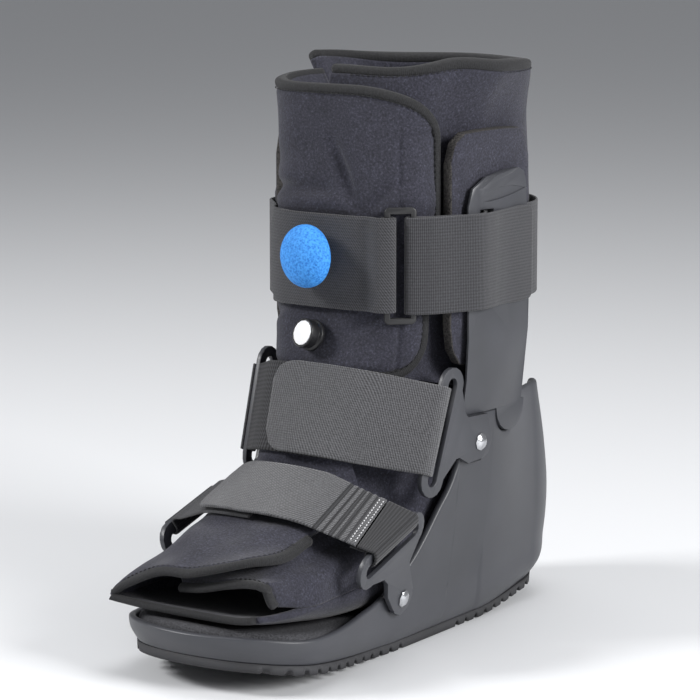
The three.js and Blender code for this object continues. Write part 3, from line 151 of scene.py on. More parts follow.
def gridFaces(rows, columns):
    # quads between neighbouring rows and columns of a grid, with the last column joined to the first
    row = np.arange(rows - 1)[:, None] * columns
    column = np.arange(columns)[None, :]
    following = (column + 1) % columns
    quads = np.stack([row + column, row + following, row + columns + following, row + columns + column], -1)
    return quads.reshape(-1, 4)


def loopGrid(name, rings, material, uv=None):
    # rings of points carried along a path: bands between rings, and each end closed by a strip across it
    count, around = rings.shape[:2]
    faces = gridFaces(count, around).tolist()
    for base in (0, (count - 1) * around):
        near = base + np.arange(around // 2 - 1)
        far = base + around - 1 - np.arange(around // 2 - 1)
        strip = np.stack([near, far, far - 1, near + 1], -1)
        faces += [quad if quad[2] != quad[3] else quad[:3] for quad in strip.tolist()]
    flatUv = None if uv is None else np.asarray(uv).reshape(-1, 2)
    return newPiece(name, rings.reshape(-1, 3), faces, material, flatUv)


edgeTurns = np.radians([45, 90, 135])


def slab(name, outer, inner, material, roundness, uv=None):
    # a sheet with thickness: an outer and an inner grid of points, joined along both edges by half circles
    # that roundness flattens
    side = np.gradient(outer, axis=1)
    cosine, sine = np.cos(edgeTurns)[:, None], np.sin(edgeTurns)[:, None]
    rightMiddle = (outer[:, -1] + inner[:, -1]) / 2
    leftMiddle = (outer[:, 0] + inner[:, 0]) / 2
    rightHalf, leftHalf = outer[:, -1] - rightMiddle, outer[:, 0] - leftMiddle
    reach = roundness * np.linalg.norm(rightHalf, axis=-1, keepdims=True)
    rightOut, leftOut = unit(side[:, -1]) * reach, -unit(side[:, 0]) * reach
    right = rightMiddle[:, None] + rightHalf[:, None] * cosine + rightOut[:, None] * sine
    left = leftMiddle[:, None] - leftHalf[:, None] * cosine + leftOut[:, None] * sine
    rings = np.concatenate([outer, right, inner[:, ::-1], left], 1)
    if uv is not None:
        count = len(edgeTurns)
        uv = [uv, np.repeat(uv[:, -1:], count, 1), uv[:, ::-1], np.repeat(uv[:, :1], count, 1)]
        uv = np.roll(np.concatenate(uv, 1), 2, 1)
    return loopGrid(name, np.roll(rings, 2, 1), material, uv)


def mirroredPiece(name, rows, material):
    # half outlines at rising rows and their mirror images, joined into closed rings
    rings = np.concatenate([rows, rows[:, ::-1] * [-1, 1, 1]], 1)
    return newPiece(name, rings.reshape(-1, 3), gridFaces(*rings.shape[:2]).tolist(), material)


threadLook = {"pitch": 3.0, "length": 2.1, "width": 0.5, "rise": 0.35}
lensTurns, lensLeans = np.arange(0, 360, 60), (8, 50, 90, 130, 172)


def makeStitches(name, path, square, material, look):
    # lockstitches along a line: each a small lens that lies on the surface, one every pitch of the length
    marks = np.concatenate([[0], np.cumsum(np.linalg.norm(np.diff(path, axis=0), axis=1))])
    at = np.arange(look["pitch"] / 2, marks[-1], look["pitch"])

    def read(values):
        return np.stack([np.interp(at, marks, values[:, axis]) for axis in range(3)], -1)

    centre, along, up = read(path), unit(read(np.gradient(path, axis=0))), unit(read(square))
    side = unit(np.cross(along, up))
    turn, lean = np.meshgrid(np.radians(lensTurns), np.radians(lensLeans))
    lens = np.stack([np.cos(lean) * look["length"] / 2, np.sin(lean) * np.cos(turn) * look["width"] / 2,
                     np.sin(lean) * np.sin(turn) * look["rise"]], -1).reshape(-1, 3)
    points = (centre[:, None] + along[:, None] * lens[:, :1] + side[:, None] * lens[:, 1:2]
              + up[:, None] * lens[:, 2:])
    first = np.arange(len(at))[:, None] * len(lens)
    faces = (gridFaces(len(lensLeans), len(lensTurns)) + first[:, :, None]).reshape(-1, 4).tolist()
    ends = np.stack([np.arange(len(lensTurns)), len(lens) - 1 - np.arange(len(lensTurns))])
    faces += (ends + first[:, :, None]).reshape(-1, len(lensTurns)).tolist()
    return newPiece(name, points.reshape(-1, 3), faces, material)


# Materials

def linear(hexColour):
    # sRGB hex to the linear values that a shader works with
    channels = np.array([int(hexColour[i:i + 2], 16) / 255 for i in (1, 3, 5)])
    return (*np.where(channels <= 0.04045, channels / 12.92, ((channels + 0.055) / 1.055) ** 2.4), 1.0)


def addNode(tree, kind, settings=None, links=None):
    node = tree.nodes.new("ShaderNode" + kind)
    for key, value in (settings or {}).items():
        if isinstance(key, int) or key in node.inputs:
            node.inputs[key].default_value = value
        else:
            setattr(node, key, value)
    for key, source in (links or {}).items():
        tree.links.new(source, node.inputs[key])
    return node


def newMaterial(name, **shader):
    material = bpy.data.materials.new(name)
    material.use_nodes = True
    bsdf = material.node_tree.nodes["Principled BSDF"]
    for key, value in shader.items():
        bsdf.inputs[key.replace("_", " ")].default_value = value
    place = addNode(material.node_tree, "TexCoord")
    return material, material.node_tree, bsdf, place


def finishSurface(tree, bsdf, pattern, stops, height=None, strength=0.0, depth=0.0):
    # the base colour runs through the stops with the pattern's value, and the height stands up as a bump
    ramp = addNode(tree, "ValToRGB", links={"Fac": pattern})
    while len(ramp.color_ramp.elements) < len(stops):
        ramp.color_ramp.elements.new(0.5)
    for element, (position, colour) in zip(ramp.color_ramp.elements, stops):
        element.position = position
        element.color = linear(colour)
    tree.links.new(ramp.outputs["Color"], bsdf.inputs["Base Color"])
    if height:
        bump = addNode(tree, "Bump", {"Strength": strength, "Distance": depth}, {"Height": height})
        tree.links.new(bump.outputs["Normal"], bsdf.inputs["Normal"])


feltLook = {"dark": "#1b1b23", "light": "#2c2c37", "fibre": "#494956", "napSize": 1.1, "mottleSize": 9,
            "mottleShare": 0.12}


def brushedFelt():
    # knitted nylon brushed to a nap over foam: soft, with pale fibre ends and a slight bloom at the edges.
    # The nap is drawn at 1.1 mm, coarser than the real fibre, which would be too fine to show
    material, tree, bsdf, place = newMaterial("brushed felt", Roughness=0.95, Sheen_Weight=0.12,
                                              Sheen_Roughness=0.4)
    onObject = {"Vector": place.outputs["Object"]}
    nap = addNode(tree, "TexNoise", {"Scale": 1000 / feltLook["napSize"], "Detail": 3, "Roughness": 0.7},
                  onObject)
    mottle = addNode(tree, "TexNoise", {"Scale": 1000 / feltLook["mottleSize"], "Detail": 2}, onObject)
    mixed = addNode(tree, "Math", {"operation": "MULTIPLY_ADD", 1: feltLook["mottleShare"]},
                    {0: mottle.outputs["Fac"], 2: nap.outputs["Fac"]})
    stops = [(0.4, feltLook["dark"]), (0.62, feltLook["light"]), (0.85, feltLook["fibre"])]
    finishSurface(tree, bsdf, mixed.outputs[0], stops, nap.outputs["Fac"], 0.6, 0.0005)
    return material


tapeLook = {"dark": "#0e0e10", "light": "#1e1e21", "ribPitch": 0.9, "grainPerMetre": 900, "ribShare": 0.25}


def boundTape():
    # woven edging tape, close and dull, with ribs across its length
    material, tree, bsdf, place = newMaterial("woven edge tape", Roughness=0.85, Sheen_Weight=0.05)
    grain = addNode(tree, "TexNoise", {"Scale": tapeLook["grainPerMetre"], "Detail": 2},
                    {"Vector": place.outputs["Object"]})
    split = addNode(tree, "SeparateXYZ", links={"Vector": place.outputs["UV"]})
    turned = addNode(tree, "Math", {"operation": "MULTIPLY", 1: 2 * math.pi / tapeLook["ribPitch"]},
                     {0: split.outputs["X"]})
    ribs = addNode(tree, "Math", {"operation": "SINE"}, {0: turned.outputs[0]})
    height = addNode(tree, "Math", {"operation": "MULTIPLY_ADD", 1: tapeLook["ribShare"]},
                     {0: ribs.outputs[0], 2: grain.outputs["Fac"]})
    stops = [(0.35, tapeLook["dark"]), (0.75, tapeLook["light"])]
    finishSurface(tree, bsdf, grain.outputs["Fac"], stops, height.outputs[0], 0.5, 0.0004)
    return material


def woven(name, dark, light, along, across, slant=0.0, strength=0.6, speckle=0.35, sheen=0.15):
    # threads from the strip's own UV map in millimetres: a wave along it, half a wave across it, and speckles
    # of about 1 mm
    material, tree, bsdf, place = newMaterial(name, Roughness=0.9, Sheen_Weight=sheen)
    split = addNode(tree, "SeparateXYZ", links={"Vector": place.outputs["UV"]})
    leaned = addNode(tree, "Math", {"operation": "MULTIPLY_ADD", 1: slant},
                     {0: split.outputs["Y"], 2: split.outputs["X"]})
    threads = []
    for source, pitch in ((leaned.outputs[0], along), (split.outputs["Y"], across)):
        turned = addNode(tree, "Math", {"operation": "MULTIPLY", 1: 2 * math.pi / pitch}, {0: source})
        threads.append(addNode(tree, "Math", {"operation": "SINE"}, {0: turned.outputs[0]}))
    crossed = addNode(tree, "Math", {"operation": "MULTIPLY_ADD", 1: 0.5},
                      {0: threads[1].outputs[0], 2: threads[0].outputs[0]})
    grain = addNode(tree, "TexNoise", {"Scale": 1100, "Detail": 2, "Roughness": 0.6},
                    {"Vector": place.outputs["Object"]})
    height = addNode(tree, "Math", {"operation": "MULTIPLY_ADD", 1: speckle * 6},
                     {0: grain.outputs["Fac"], 2: crossed.outputs[0]})
    share = addNode(tree, "MapRange", {"From Min": -1.5 + speckle * 2, "From Max": 1.5 + speckle * 4.2},
                    {"Value": height.outputs[0]})
    # the colour follows the same height as the bump: painted shade in the dips between the threads, painted
    # light on their tops, and a random speckled tone from the grain
    stops = [(0.15, dark), (0.85, light)]
    finishSurface(tree, bsdf, share.outputs[0], stops, share.outputs[0], strength, 0.0004)
    return material


def moulded(name, dark, light, roughness, grain=0.5, strength=0.12):
    # injection moulded plastic or rubber: even, with a fine grain of that size in millimetres from the mould
    material, tree, bsdf, place = newMaterial(name, Roughness=roughness, IOR=1.49)
    onObject = {"Vector": place.outputs["Object"]}
    fine = addNode(tree, "TexNoise", {"Scale": 1000 / grain, "Detail": 2}, onObject)
    broad = addNode(tree, "TexNoise", {"Scale": 25, "Detail": 3}, onObject)
    stops = [(0.3, dark), (0.7, light)]
    finishSurface(tree, bsdf, broad.outputs["Fac"], stops, fine.outputs["Fac"], strength, 0.0003)
    return material


def speckled(name, dark, light, size, roughness):
    # open-cell foam or a cut foam edge: pits of that size in millimetres between cell walls, coloured with
    # painted shade in the pits and paler walls
    material, tree, bsdf, place = newMaterial(name, Roughness=roughness)
    onObject = {"Vector": place.outputs["Object"]}
    cells = addNode(tree, "TexVoronoi", {"Scale": 1000 / size}, onObject)
    grain = addNode(tree, "TexNoise", {"Scale": 1400 / size, "Detail": 3}, onObject)
    height = addNode(tree, "Math", {"operation": "MULTIPLY_ADD", 1: 0.6},
                     {0: cells.outputs["Distance"], 2: grain.outputs["Fac"]})
    # the colour follows the same height as the bump: painted shade in the pits and painted light on the cell
    # walls, with a random grain
    stops = [(0.55, dark), (1.0, light)]
    finishSurface(tree, bsdf, height.outputs[0], stops, height.outputs[0], 0.7, 0.0006)
    return material


def polishedSteel():
    # nickel-plated steel, polished: mirror bright, with faint handling marks 2.5 mm across
    material, tree, bsdf, place = newMaterial("nickel-plated steel", Metallic=1.0)
    marks = addNode(tree, "TexNoise", {"Scale": 400, "Detail": 4}, {"Vector": place.outputs["Object"]})
    rough = addNode(tree, "MapRange", {"To Min": 0.12, "To Max": 0.32}, {"Value": marks.outputs["Fac"]})
    tree.links.new(rough.outputs[0], bsdf.inputs["Roughness"])
    finishSurface(tree, bsdf, marks.outputs["Fac"], [(0.3, "#b4b5b8"), (0.7, "#dcdde0")])
    return material


felt = brushedFelt()
tape = boundTape()
webbing = woven("ribbed nylon webbing", "#1b1b1d", "#3f3f43", 0.95, 1.6)  # close dull ribs
twill = woven("twill webbing", "#1d1d1f", "#434347", 1.3, 1.5, slant=0.7)  # ribs that lean across the tape
# loop pile: fuzzy loops that catch the light, so it is the greyest of the straps
pile = woven("loop pile tape", "#262628", "#58585b", 1.3, 1.2,
             slant=0.5, strength=0.8, speckle=0.6, sheen=0.3)
# hook tape: rows of hooks with painted shade in the gaps between them, drawn at 2.2 mm, coarser than the real
# ones, to show
hookTape = woven("hook tape", "#0a0a0b", "#3a3a3d", 2.2, 2.2, strength=0.9, speckle=0.05, sheen=0.0)
elastic = woven("ribbed elastic", "#101012", "#2e2e31", 1.5, 1.0, strength=0.7, speckle=0.2)  # deep ribs
plastic = moulded("satin polypropylene", "#36373b", "#3e3f44", 0.42)  # broad soft highlights
treadRubber = moulded("tread rubber", "#2a2a2c", "#343437", 0.75, grain=0.8, strength=0.3)  # dull and dusty
darkPlastic = moulded("black nylon", "#141416", "#1c1c1e", 0.4)  # nearly black, satin
whitePlastic = moulded("white acetal", "#e6e6e8", "#f2f2f3", 0.3)  # clean white with a small bright highlight
foamEdge = speckled("cut foam edge", "#232222", "#454240", 1.2, 0.95)  # matt pits
insoleFoam = speckled("insole foam", "#27272a", "#444448", 1.0, 0.9)  # matt, finely pitted
bulbFoam = speckled("blue foam", "#1a6cbe", "#3f94e2", 1.3, 0.8)  # bright blue, mottled by painted shade in its cells
steel = polishedSteel()
darkThread = moulded("black thread", "#0f0f11", "#17171a", 0.7)  # a dark line on the felt
whiteThread = moulded("white thread", "#b9b9bb", "#d8d8da", 0.7)  # pale dashes on the strap
print("materials made")


# Shell, tread and insole

def rocker(y):
    # underside of the tread: flat in the middle, a power curve up to the toe and to the heel
    toe = np.maximum((flatFront - y) / (flatFront + half), 0)
    heel = np.maximum((y - flatRear) / (half - flatRear), 0)
    return boot["toeSpring"] * toe ** 1.5 + boot["heelSpring"] * heel ** 1.6


def shellBase(y):
    # the shell stands a gap above the tread, and the insole's top is the footbed
    return rocker(y) + boot["treadThickness"] + boot["fitGap"]


def footbed(y):
    return shellBase(y) + boot["shellWall"] + boot["fitGap"] + boot["insoleThickness"]


shellTable = {
    "height": (0, 0.05, 0.19, 0.42, 0.65, 1),
    "ball": (0.93, 0.99, 1, 1, 1, 1),
    "waist": (0.74, 0.795, 0.845, 0.916, 0.945, 0.955),
    "side": (0.71, 0.77, 0.83, 0.9, 0.953, 1),
    "heel": (0.81, 0.915, 0.97, 1, 0.98, 0.9),
    "toe": (0.975, 0.998, 1, 1, 1, 1),
    "back": (0.915, 0.955, 0.983, 0.995, 0.96, 0.875),
    "crease": (0.178, 0.168, 0.158, 0.143, 0.136, 0.12),
}
shellLook = {"creaseStep": 1.2, "creaseRun": 2.5, "blendRun": 4, "rimRise": 1.1, "rows": 34, "innerRows": 14,
             "floorShare": 0.06, "floorWidth": 0.92}
waistLine = -0.103 * boot["soleLength"]


def shellRow(height):
    # the table's shares at a height between the base and the top
    return {key: curveThrough(shellTable["height"], values, height) for key, values in shellTable.items()}


def shellHalfWidth(y, row):
    # half the shell's width: ball to waist on a smooth step, a straight side that steps out at the crease,
    # then a smooth step to the heel
    ball = row["ball"] * boot["ballWidth"] / 2
    waist = row["waist"] * boot["shellTopWidth"] / 2
    side = row["side"] * boot["shellTopWidth"] / 2
    heel = row["heel"] * boot["heelWidth"] / 2
    crease = row["crease"] * boot["soleLength"]
    step = shellLook["creaseStep"] * (0.4 + 0.6 * row["height"])
    run = shellLook["blendRun"]
    rear = side + (heel - side) * smoothStep(crease + run, heelLine + 4 * run, y)
    front = waist + (side - step - waist) * np.maximum((y - waistLine) / (crease - run - waistLine), 0)
    front += (side - front) * np.clip((y - crease + shellLook["creaseRun"]) / shellLook["creaseRun"], 0, 1)
    toe = ball + (waist - ball) * smoothStep(ballLine, waistLine, y)
    return np.where(y < waistLine, toe, np.where(y < crease, front, rear))


def shellOutline(row, inset, places):
    # the plan outline at a row's height: a quarter ellipse at the toe, the side's width, and a quarter
    # ellipse at the heel. Kinds 0, 1 and 2 have a toe angle, a station along the side or a heel angle
    kind, value = places
    sine, cosine = np.sin(np.radians(value)), np.cos(np.radians(value))
    halfBall = shellHalfWidth(np.full_like(value, ballLine), row) - inset
    halfHeel = shellHalfWidth(np.full_like(value, heelLine), row) - inset
    toeRun = row["toe"] * half + ballLine - inset
    heelRun = row["back"] * half - heelLine - inset
    sideX = np.where(kind == 1, shellHalfWidth(value, row) - inset, halfHeel * cosine)
    sideY = np.where(kind == 1, value, heelLine + heelRun * sine)
    return np.where(kind == 0, halfBall * sine, sideX), np.where(kind == 0, ballLine - toeRun * cosine, sideY)


edgeTable = {
    "along": (-0.56, -0.474, -0.385, -0.303, -0.227, -0.16, -0.115, -0.07, -0.007, 0.037, 0.05),
    "up": (0.262, 0.254, 0.225, 0.223, 0.243, 0.278, 0.335, 0.42, 0.589, 0.715, 0.775),
}
notch = {"front": 0.0505, "seat": 0.973, "centre": 0.196, "radius": 13.3,
         "heelDip": 0.3, "dipFrom": 0.165, "dipTo": 0.375}


def shellEdgePath():
    # side view of the top edge behind the ball: the table's curve, a step up to the seat, the round notch and
    # the level back
    soleLength, shellHeight = boot["soleLength"], boot["shellHeight"]
    y = np.linspace(ballLine, notch["front"] * soleLength, 60)
    z = curveThrough(edgeTable["along"], edgeTable["up"], y / soleLength) * shellHeight
    seat, centre, radius = notch["seat"] * shellHeight, notch["centre"] * soleLength, notch["radius"]
    turn = np.radians(np.linspace(180, 360, 25))
    return np.concatenate([
        np.stack([y, z], 1),
        [[y[-1] + 0.05, seat - 6], [y[-1] + 0.1, seat - 0.6], [y[-1] + 0.7, seat]],
        [[centre - radius - 12, seat], [centre - radius - 0.4, seat]],
        np.stack([centre + radius * np.cos(turn), seat + radius * np.sin(turn)], 1),
        [[centre + radius + 0.1, shellHeight - 0.8], [centre + radius + 0.9, shellHeight]],
        np.stack([np.linspace(centre + radius + 5, heelLine, 10), np.full(10, shellHeight)], 1)])


def shellPlaces():
    # toe angles, then the stations of the edge path, then heel angles
    path = shellEdgePath()
    toe, heel = np.linspace(0, 87, 30), np.linspace(3, 90, 30)
    kind = np.concatenate([np.zeros(30), np.ones(len(path)), np.full(30, 2)])
    value = np.concatenate([toe, path[:, 0], heel])
    return kind, value, path[:, 1]


def shellTopHeight(kind, sideHeights, x, y):
    # the edge table at the toe, the edge path along the side, and a dip at the back on a smooth step of x
    dip = 1 - smoothStep(notch["dipFrom"] * boot["heelWidth"], notch["dipTo"] * boot["heelWidth"], np.abs(x))
    top = boot["shellHeight"] * (1 - notch["heelDip"] * dip)
    toeTop = curveThrough(edgeTable["along"], edgeTable["up"], y / boot["soleLength"]) * boot["shellHeight"]
    height = np.where(kind == 0, toeTop, top)
    height[kind == 1] = sideHeights
    return height - shellLook["rimRise"]


def makeShell():
    # each column runs up the outer face, over a round rim, down the inner face and across the floor, and the
    # other half mirrors it
    kind, value, sideHeights = shellPlaces()
    full = boot["shellHeight"] + 4

    def surface(inset, shares, base):
        # each column runs from the base to the top edge at its own place on the outline
        rows = []
        guess = shellOutline(shellRow(0.9), inset, (kind, value))
        top = shellTopHeight(kind, sideHeights, *guess)
        for share in shares:
            x, y = guess
            for _ in range(2):
                z = base(y) + (top - base(y)) * share
                height = np.clip((z - shellBase(y)) / (full - shellBase(y)), 0, 1)
                x, y = shellOutline(shellRow(height), inset, (kind, value))
            rows.append(np.stack([x, y, z], -1))
        return np.array(rows)

    wall = boot["shellWall"]
    outer = surface(0, np.linspace(0, 1, shellLook["rows"]) ** 1.3, shellBase)
    inner = surface(wall, np.linspace(1, shellLook["floorShare"], shellLook["innerRows"]),
                    lambda y: shellBase(y) + wall)
    across = inner[0] - outer[-1]
    along = unit(np.gradient(outer[-1], axis=0))
    up = unit(np.cross(across, along))
    up *= np.where(up[:, 2:] < 0, -1, 1) * shellLook["rimRise"]
    middle = (inner[0] + outer[-1]) / 2
    rim = [middle - across / 2 * math.cos(t) + up * math.sin(t) for t in np.radians([25, 55, 90, 125, 155])]
    floor = inner[-1] * [shellLook["floorWidth"], 1, 1]
    floor[:, 2] = shellBase(floor[:, 1]) + wall
    toMiddle, halfway = np.array([0, 1, 1]), np.array([0.5, 1, 1])
    rows = np.concatenate([[outer[0] * toMiddle, outer[0] * halfway], outer, rim, inner,
                           [floor, floor * halfway, floor * toMiddle]])
    shell = mirroredPiece("shellMoulding", rows, plastic)
    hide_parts("shell")
    print("shell made")


tread = {"pitch": 9, "rib": 6, "plainZone": 22.5, "plainMiddle": 10, "front": -0.973, "rear": 0.913,
         "stations": 420, "ballShare": 0.945, "heelShare": 0.84, "draft": 0.3}


def makeTread():
    # closed loops across the sole at close stations, whose underside steps up between the ribs
    y = np.linspace(tread["front"] * half, tread["rear"] * half, tread["stations"])
    row = {key: values[0] for key, values in shellTable.items()}
    row["ball"], row["heel"] = tread["ballShare"], tread["heelShare"]
    toeRun, heelRun = row["toe"] * half + ballLine, row["back"] * half - heelLine
    width = shellHalfWidth(np.clip(y, ballLine, heelLine), row)
    width = width * np.sqrt(np.clip(1 - (np.maximum(ballLine - y, 0) / toeRun) ** 2, 0.002, 1))
    width = width * np.sqrt(np.clip(1 - (np.maximum(y - heelLine, 0) / heelRun) ** 2, 0.002, 1))
    start = -half + 2 * tread["pitch"]
    phase = np.abs((y - start + tread["pitch"] / 2) % tread["pitch"] - tread["pitch"] / 2)
    grooveHalf, draft = (tread["pitch"] - tread["rib"]) / 2, tread["draft"]
    groove = 1 - smoothStep(grooveHalf - draft, grooveHalf + draft, phase)
    groove *= np.abs(y - tread["plainMiddle"]) > tread["plainZone"]
    groove *= (y > start - 3) & (y < half - 2 * tread["pitch"])
    low = rocker(y) + boot["treadGroove"] * groove
    top = rocker(y) + boot["treadThickness"]
    across = np.array([-1, -0.99, -0.5, 0, 0.5, 0.99, 1])
    back = across[::-1]
    upper = np.stack(np.broadcast_arrays(width[:, None] * across, y[:, None], top[:, None]), -1)
    under = np.stack(np.broadcast_arrays(width[:, None] * back - draft * np.sign(back), y[:, None],
                                         low[:, None]), -1)
    piece = loopGrid("treadRibs", np.concatenate([upper, under], 1), treadRubber)
    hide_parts("outsole")


# Each ring of the footbed: its share of the way to the middle, inset in millimetres, and share of the height
footbedRings = ((1, 0, 0), (0.9, 0, 0), (0.25, 2.8, 0), (0, 0.6, 0.3), (0, 0.3, 0.6), (0, 1.2, 0.85),
                (0, 3.2, 0.97), (0, 8, 1), (0.5, 8, 1), (1, 8, 1))


def makeInsole():
    # a padded footbed: plan outlines at rising heights, drawn in at the rounded top edge
    kind = np.concatenate([np.zeros(30), np.ones(60), np.full(30, 2)])
    side = np.linspace(ballLine, heelLine, 60)
    value = np.concatenate([np.linspace(0, 87, 30), side, np.linspace(3, 90, 30)])
    inset = boot["shellWall"] + boot["fitGap"]
    row = shellRow(shellLook["floorShare"])
    rows = []
    for drawn, extra, share in footbedRings:
        x, y = shellOutline(row, inset + extra, (kind, value))
        z = shellBase(y) + inset + share * boot["insoleThickness"]
        rows.append(np.stack([x * (1 - drawn), y, z], -1))
    piece = mirroredPiece("insolePad", np.array(rows), insoleFoam)
    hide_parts("insole")


makeShell()
makeTread()
makeInsole()
print("sole made")

# Liner: sections fan round from level at the calf to upright at the toe

linerTable = {
    "frontY": (-0.0756, -0.079, -0.0808, -0.0825, -0.0876, -0.1134, -0.1495, -0.1838,
               -0.2062, -0.2474, -0.2887, -0.3299, -0.3711, -0.4104, -0.441, -0.4605),
    "frontZ": (1, 0.916, 0.787, 0.664, 0.559, 0.493, 0.423, 0.36,
               0.316, 0.294, 0.277, 0.26, 0.24, 0.2225, 0.2085, 0.2),
    "backY": (0.3677, 0.3711, 0.3746, 0.378, 0.3797, 0.3849, 0.4124, 0.4467,
              0.433, 0.36, 0.206, 0.034, -0.137, -0.285, -0.393, -0.457),
    "rise": (0.906, 0.822, 0.692, 0.569, 0.447, 0.322, 0.205, 0.092,
             0.02, 0.001, 0.001, 0.001, 0.001, 0.001, 0.004, 0.008),
    "rim": (1, 0.12, 0, 0, 0, 0, 0, 0, 0, 0, 0, 0, 0, 0, 0, 0),
    "calf": (0, 0.88, 1, 1, 1, 0.2, 0, 0, 0, 0, 0, 0, 0, 0, 0, 0),
    "foot": (0, 0, 0, 0, 0, 0.8, 0.99, 1, 0.98, 0.98, 0.985, 0.99, 1, 1.03, 1.07, 1.1),
    "front": (2.3, 3, 3.4, 3.4, 3.2, 2.9, 2.7, 2.6, 2.6, 2.6, 2.7, 2.7, 2.7, 2.8, 3, 3.2),
    "back": (2.3, 3.4, 4, 4, 3.4, 2.6, 2.4, 2.3, 2.3, 2.5, 2.8, 3, 3, 3, 3, 3.2),
    "wall": (1, 1, 1, 1, 1, 1, 1, 1, 0.95, 0.85, 0.77, 0.72, 0.69, 0.6, 0.52, 0.48),
    "lean": (0, 0, 0, 0, 0, 0, 0, 0, 0, 0, 0, 0.02, 0.08, 0.17, 0.25, 0.3),
}
lastRow = len(linerTable["frontY"]) - 1


def linerColumn(column, place):
    # a column of the table read between its rows, where place counts the rows
    return curveThrough(np.arange(lastRow + 1), linerTable[column], place)


def linerWallAt(place):
    return linerColumn("wall", place) * boot["linerWall"]


def linerSurface(degrees, place):
    # each section is a superellipse about the middle of the line from the back point to the front point, and
    # the toe's top slopes up towards +X by the lean column
    place = np.clip(place, 0, lastRow)
    backY = linerColumn("backY", place) * boot["soleLength"]
    backZ = footbed(backY) + linerColumn("rise", place) * boot["linerHeight"]
    frontY = linerColumn("frontY", place) * boot["soleLength"]
    frontZ = linerColumn("frontZ", place) * boot["linerHeight"]
    depth = np.hypot(frontY - backY, frontZ - backZ) / 2
    width = (linerColumn("rim", place) * boot["rimWidth"] + linerColumn("calf", place) * boot["calfWidth"]
             + linerColumn("foot", place) * boot["footWidth"]) / 2
    sine, cosine = np.sin(np.radians(degrees)), np.cos(np.radians(degrees))
    power = np.where(cosine > 0, linerColumn("front", place), linerColumn("back", place))
    reach = ((np.abs(sine) / width) ** power + (np.abs(cosine) / depth) ** power) ** (-1 / power)
    share = reach * cosine / (2 * depth)
    raised = linerColumn("lean", place) * reach * sine * (share + 0.5)
    return np.stack([reach * sine, (backY + frontY) / 2 + (frontY - backY) * share,
                     (backZ + frontZ) / 2 + (frontZ - backZ) * share + raised], -1)


def onLiner(degrees, place, lift=0.0):
    # a point at a distance outside the surface, along its normal
    degrees, place, lift = np.broadcast_arrays(*(np.asarray(v, float) for v in (degrees, place, lift)))
    around = linerSurface(degrees + 1, place) - linerSurface(degrees - 1, place)
    down = linerSurface(degrees, place + 0.1) - linerSurface(degrees, place - 0.1)
    return linerSurface(degrees, place) + unit(np.cross(down, around)) * lift[..., None]


def placeAtHeight(height):
    # the row of the table at which the liner's front has that height
    place = np.linspace(0, 8, 400)
    front = linerColumn("frontZ", place) * boot["linerHeight"]
    return np.interp(-np.asarray(height, float), -front, place)


# Edges of the liner's panels in degrees from the front, and the rows of the table where they change
seams = {"flapEdge": 50, "gap": 1.8, "panelStart": -4, "side": 265, "footRight": 104, "footLeft": 268.8,
         "panelFoot": 4.95, "ankle": 5.3, "underFrom": 8, "underTo": 40, "calfRadius": 60}


def underlap(degrees):
    # how far the right panel lies below the outer surface, so that the flap over it lies flush: a smooth step
    full = boot["linerWall"] + boot["lapGap"] + boot["fitGap"]
    edge = seams["flapEdge"]
    return full * (1 - smoothStep(edge + seams["underFrom"], edge + seams["underTo"], degrees))


# Folds in the calf felt, each from degrees and height to degrees and height, then its depth and width in
# millimetres. A negative depth is a ridge
calfFolds = ((-50, 226, -2, 229, 4.2, 3.6), (2, 252, 14, 221, 3.6, 3.4), (-40, 240, -12, 247, 1.8, 6.0),
             (30, 232, 20, 219, 2.4, 3.2), (-14, 224, 12, 221, -1.4, 5.0), (14, 160, 26, 170, 2.6, 3.0),
             (-46, 158, -24, 168, 2.2, 3.4))


def foldRelief(across, down, folds, endShare):
    # a soft groove along each fold's line: a bell curve of the distance from the line, of which a share is
    # left at the line's two ends
    relief = np.zeros_like(across)
    for startAcross, startDown, endAcross, endDown, depth, width in folds:
        start = np.array([startAcross, startDown])
        line = np.array([endAcross, endDown]) - start
        share = np.clip(((across - start[0]) * line[0] + (down - start[1]) * line[1]) / (line @ line), 0, 1)
        distance = np.hypot(across - start[0] - share * line[0], down - start[1] - share * line[1])
        taper = endShare + (1 - endShare) * np.sin(math.pi * np.clip(share, 0.05, 0.95))
        relief -= depth * taper * np.exp(-(distance / width) ** 2)
    return relief


def scaledFolds(folds, scale):
    # the folds with their degrees brought to the unit that their heights or rows are in
    return [(first * scale, low, last * scale, *rest) for first, low, last, *rest in folds]


cinching = {"swell": 0.9, "swellAway": 7, "swellWidth": 6, "depth": 0.3}


def cinch(height):
    # the strap draws the felt in at its own height, and the felt swells above and below it in a bell curve
    away = np.abs(height - boot["strapHeight"]) - boot["strapWidth"] / 2
    swell = cinching["swell"] * np.exp(-((away - cinching["swellAway"]) / cinching["swellWidth"]) ** 2)
    return swell - cinching["depth"] * (away < 0)


def stitchLiner(name, degrees, height):
    # a row of stitches sunk into the calf flap's felt, along angles and heights
    place = placeAtHeight(height)
    degrees = drawnIn(degrees, place)
    path = onLiner(degrees, place, -flap["threadSink"])
    square = unit(onLiner(degrees, place, 1 - flap["threadSink"]) - path)
    makeStitches(name, path, square, darkThread, threadLook)


def makeSeams():
    # the stitched channel beside the calf flap's free edge, above and below the strap, and across its top
    for index, (low, high) in enumerate(((219, flap["channelTop"]), (150, 167))):
        stitchLiner(f"channelSide{index}", np.full(30, flap["channelFrom"]), np.linspace(low, high, 30))
    across = np.linspace(flap["channelFrom"], flap["channelTo"], 20)
    stitchLiner("channelTop", across, np.full(20, flap["channelTop"]))


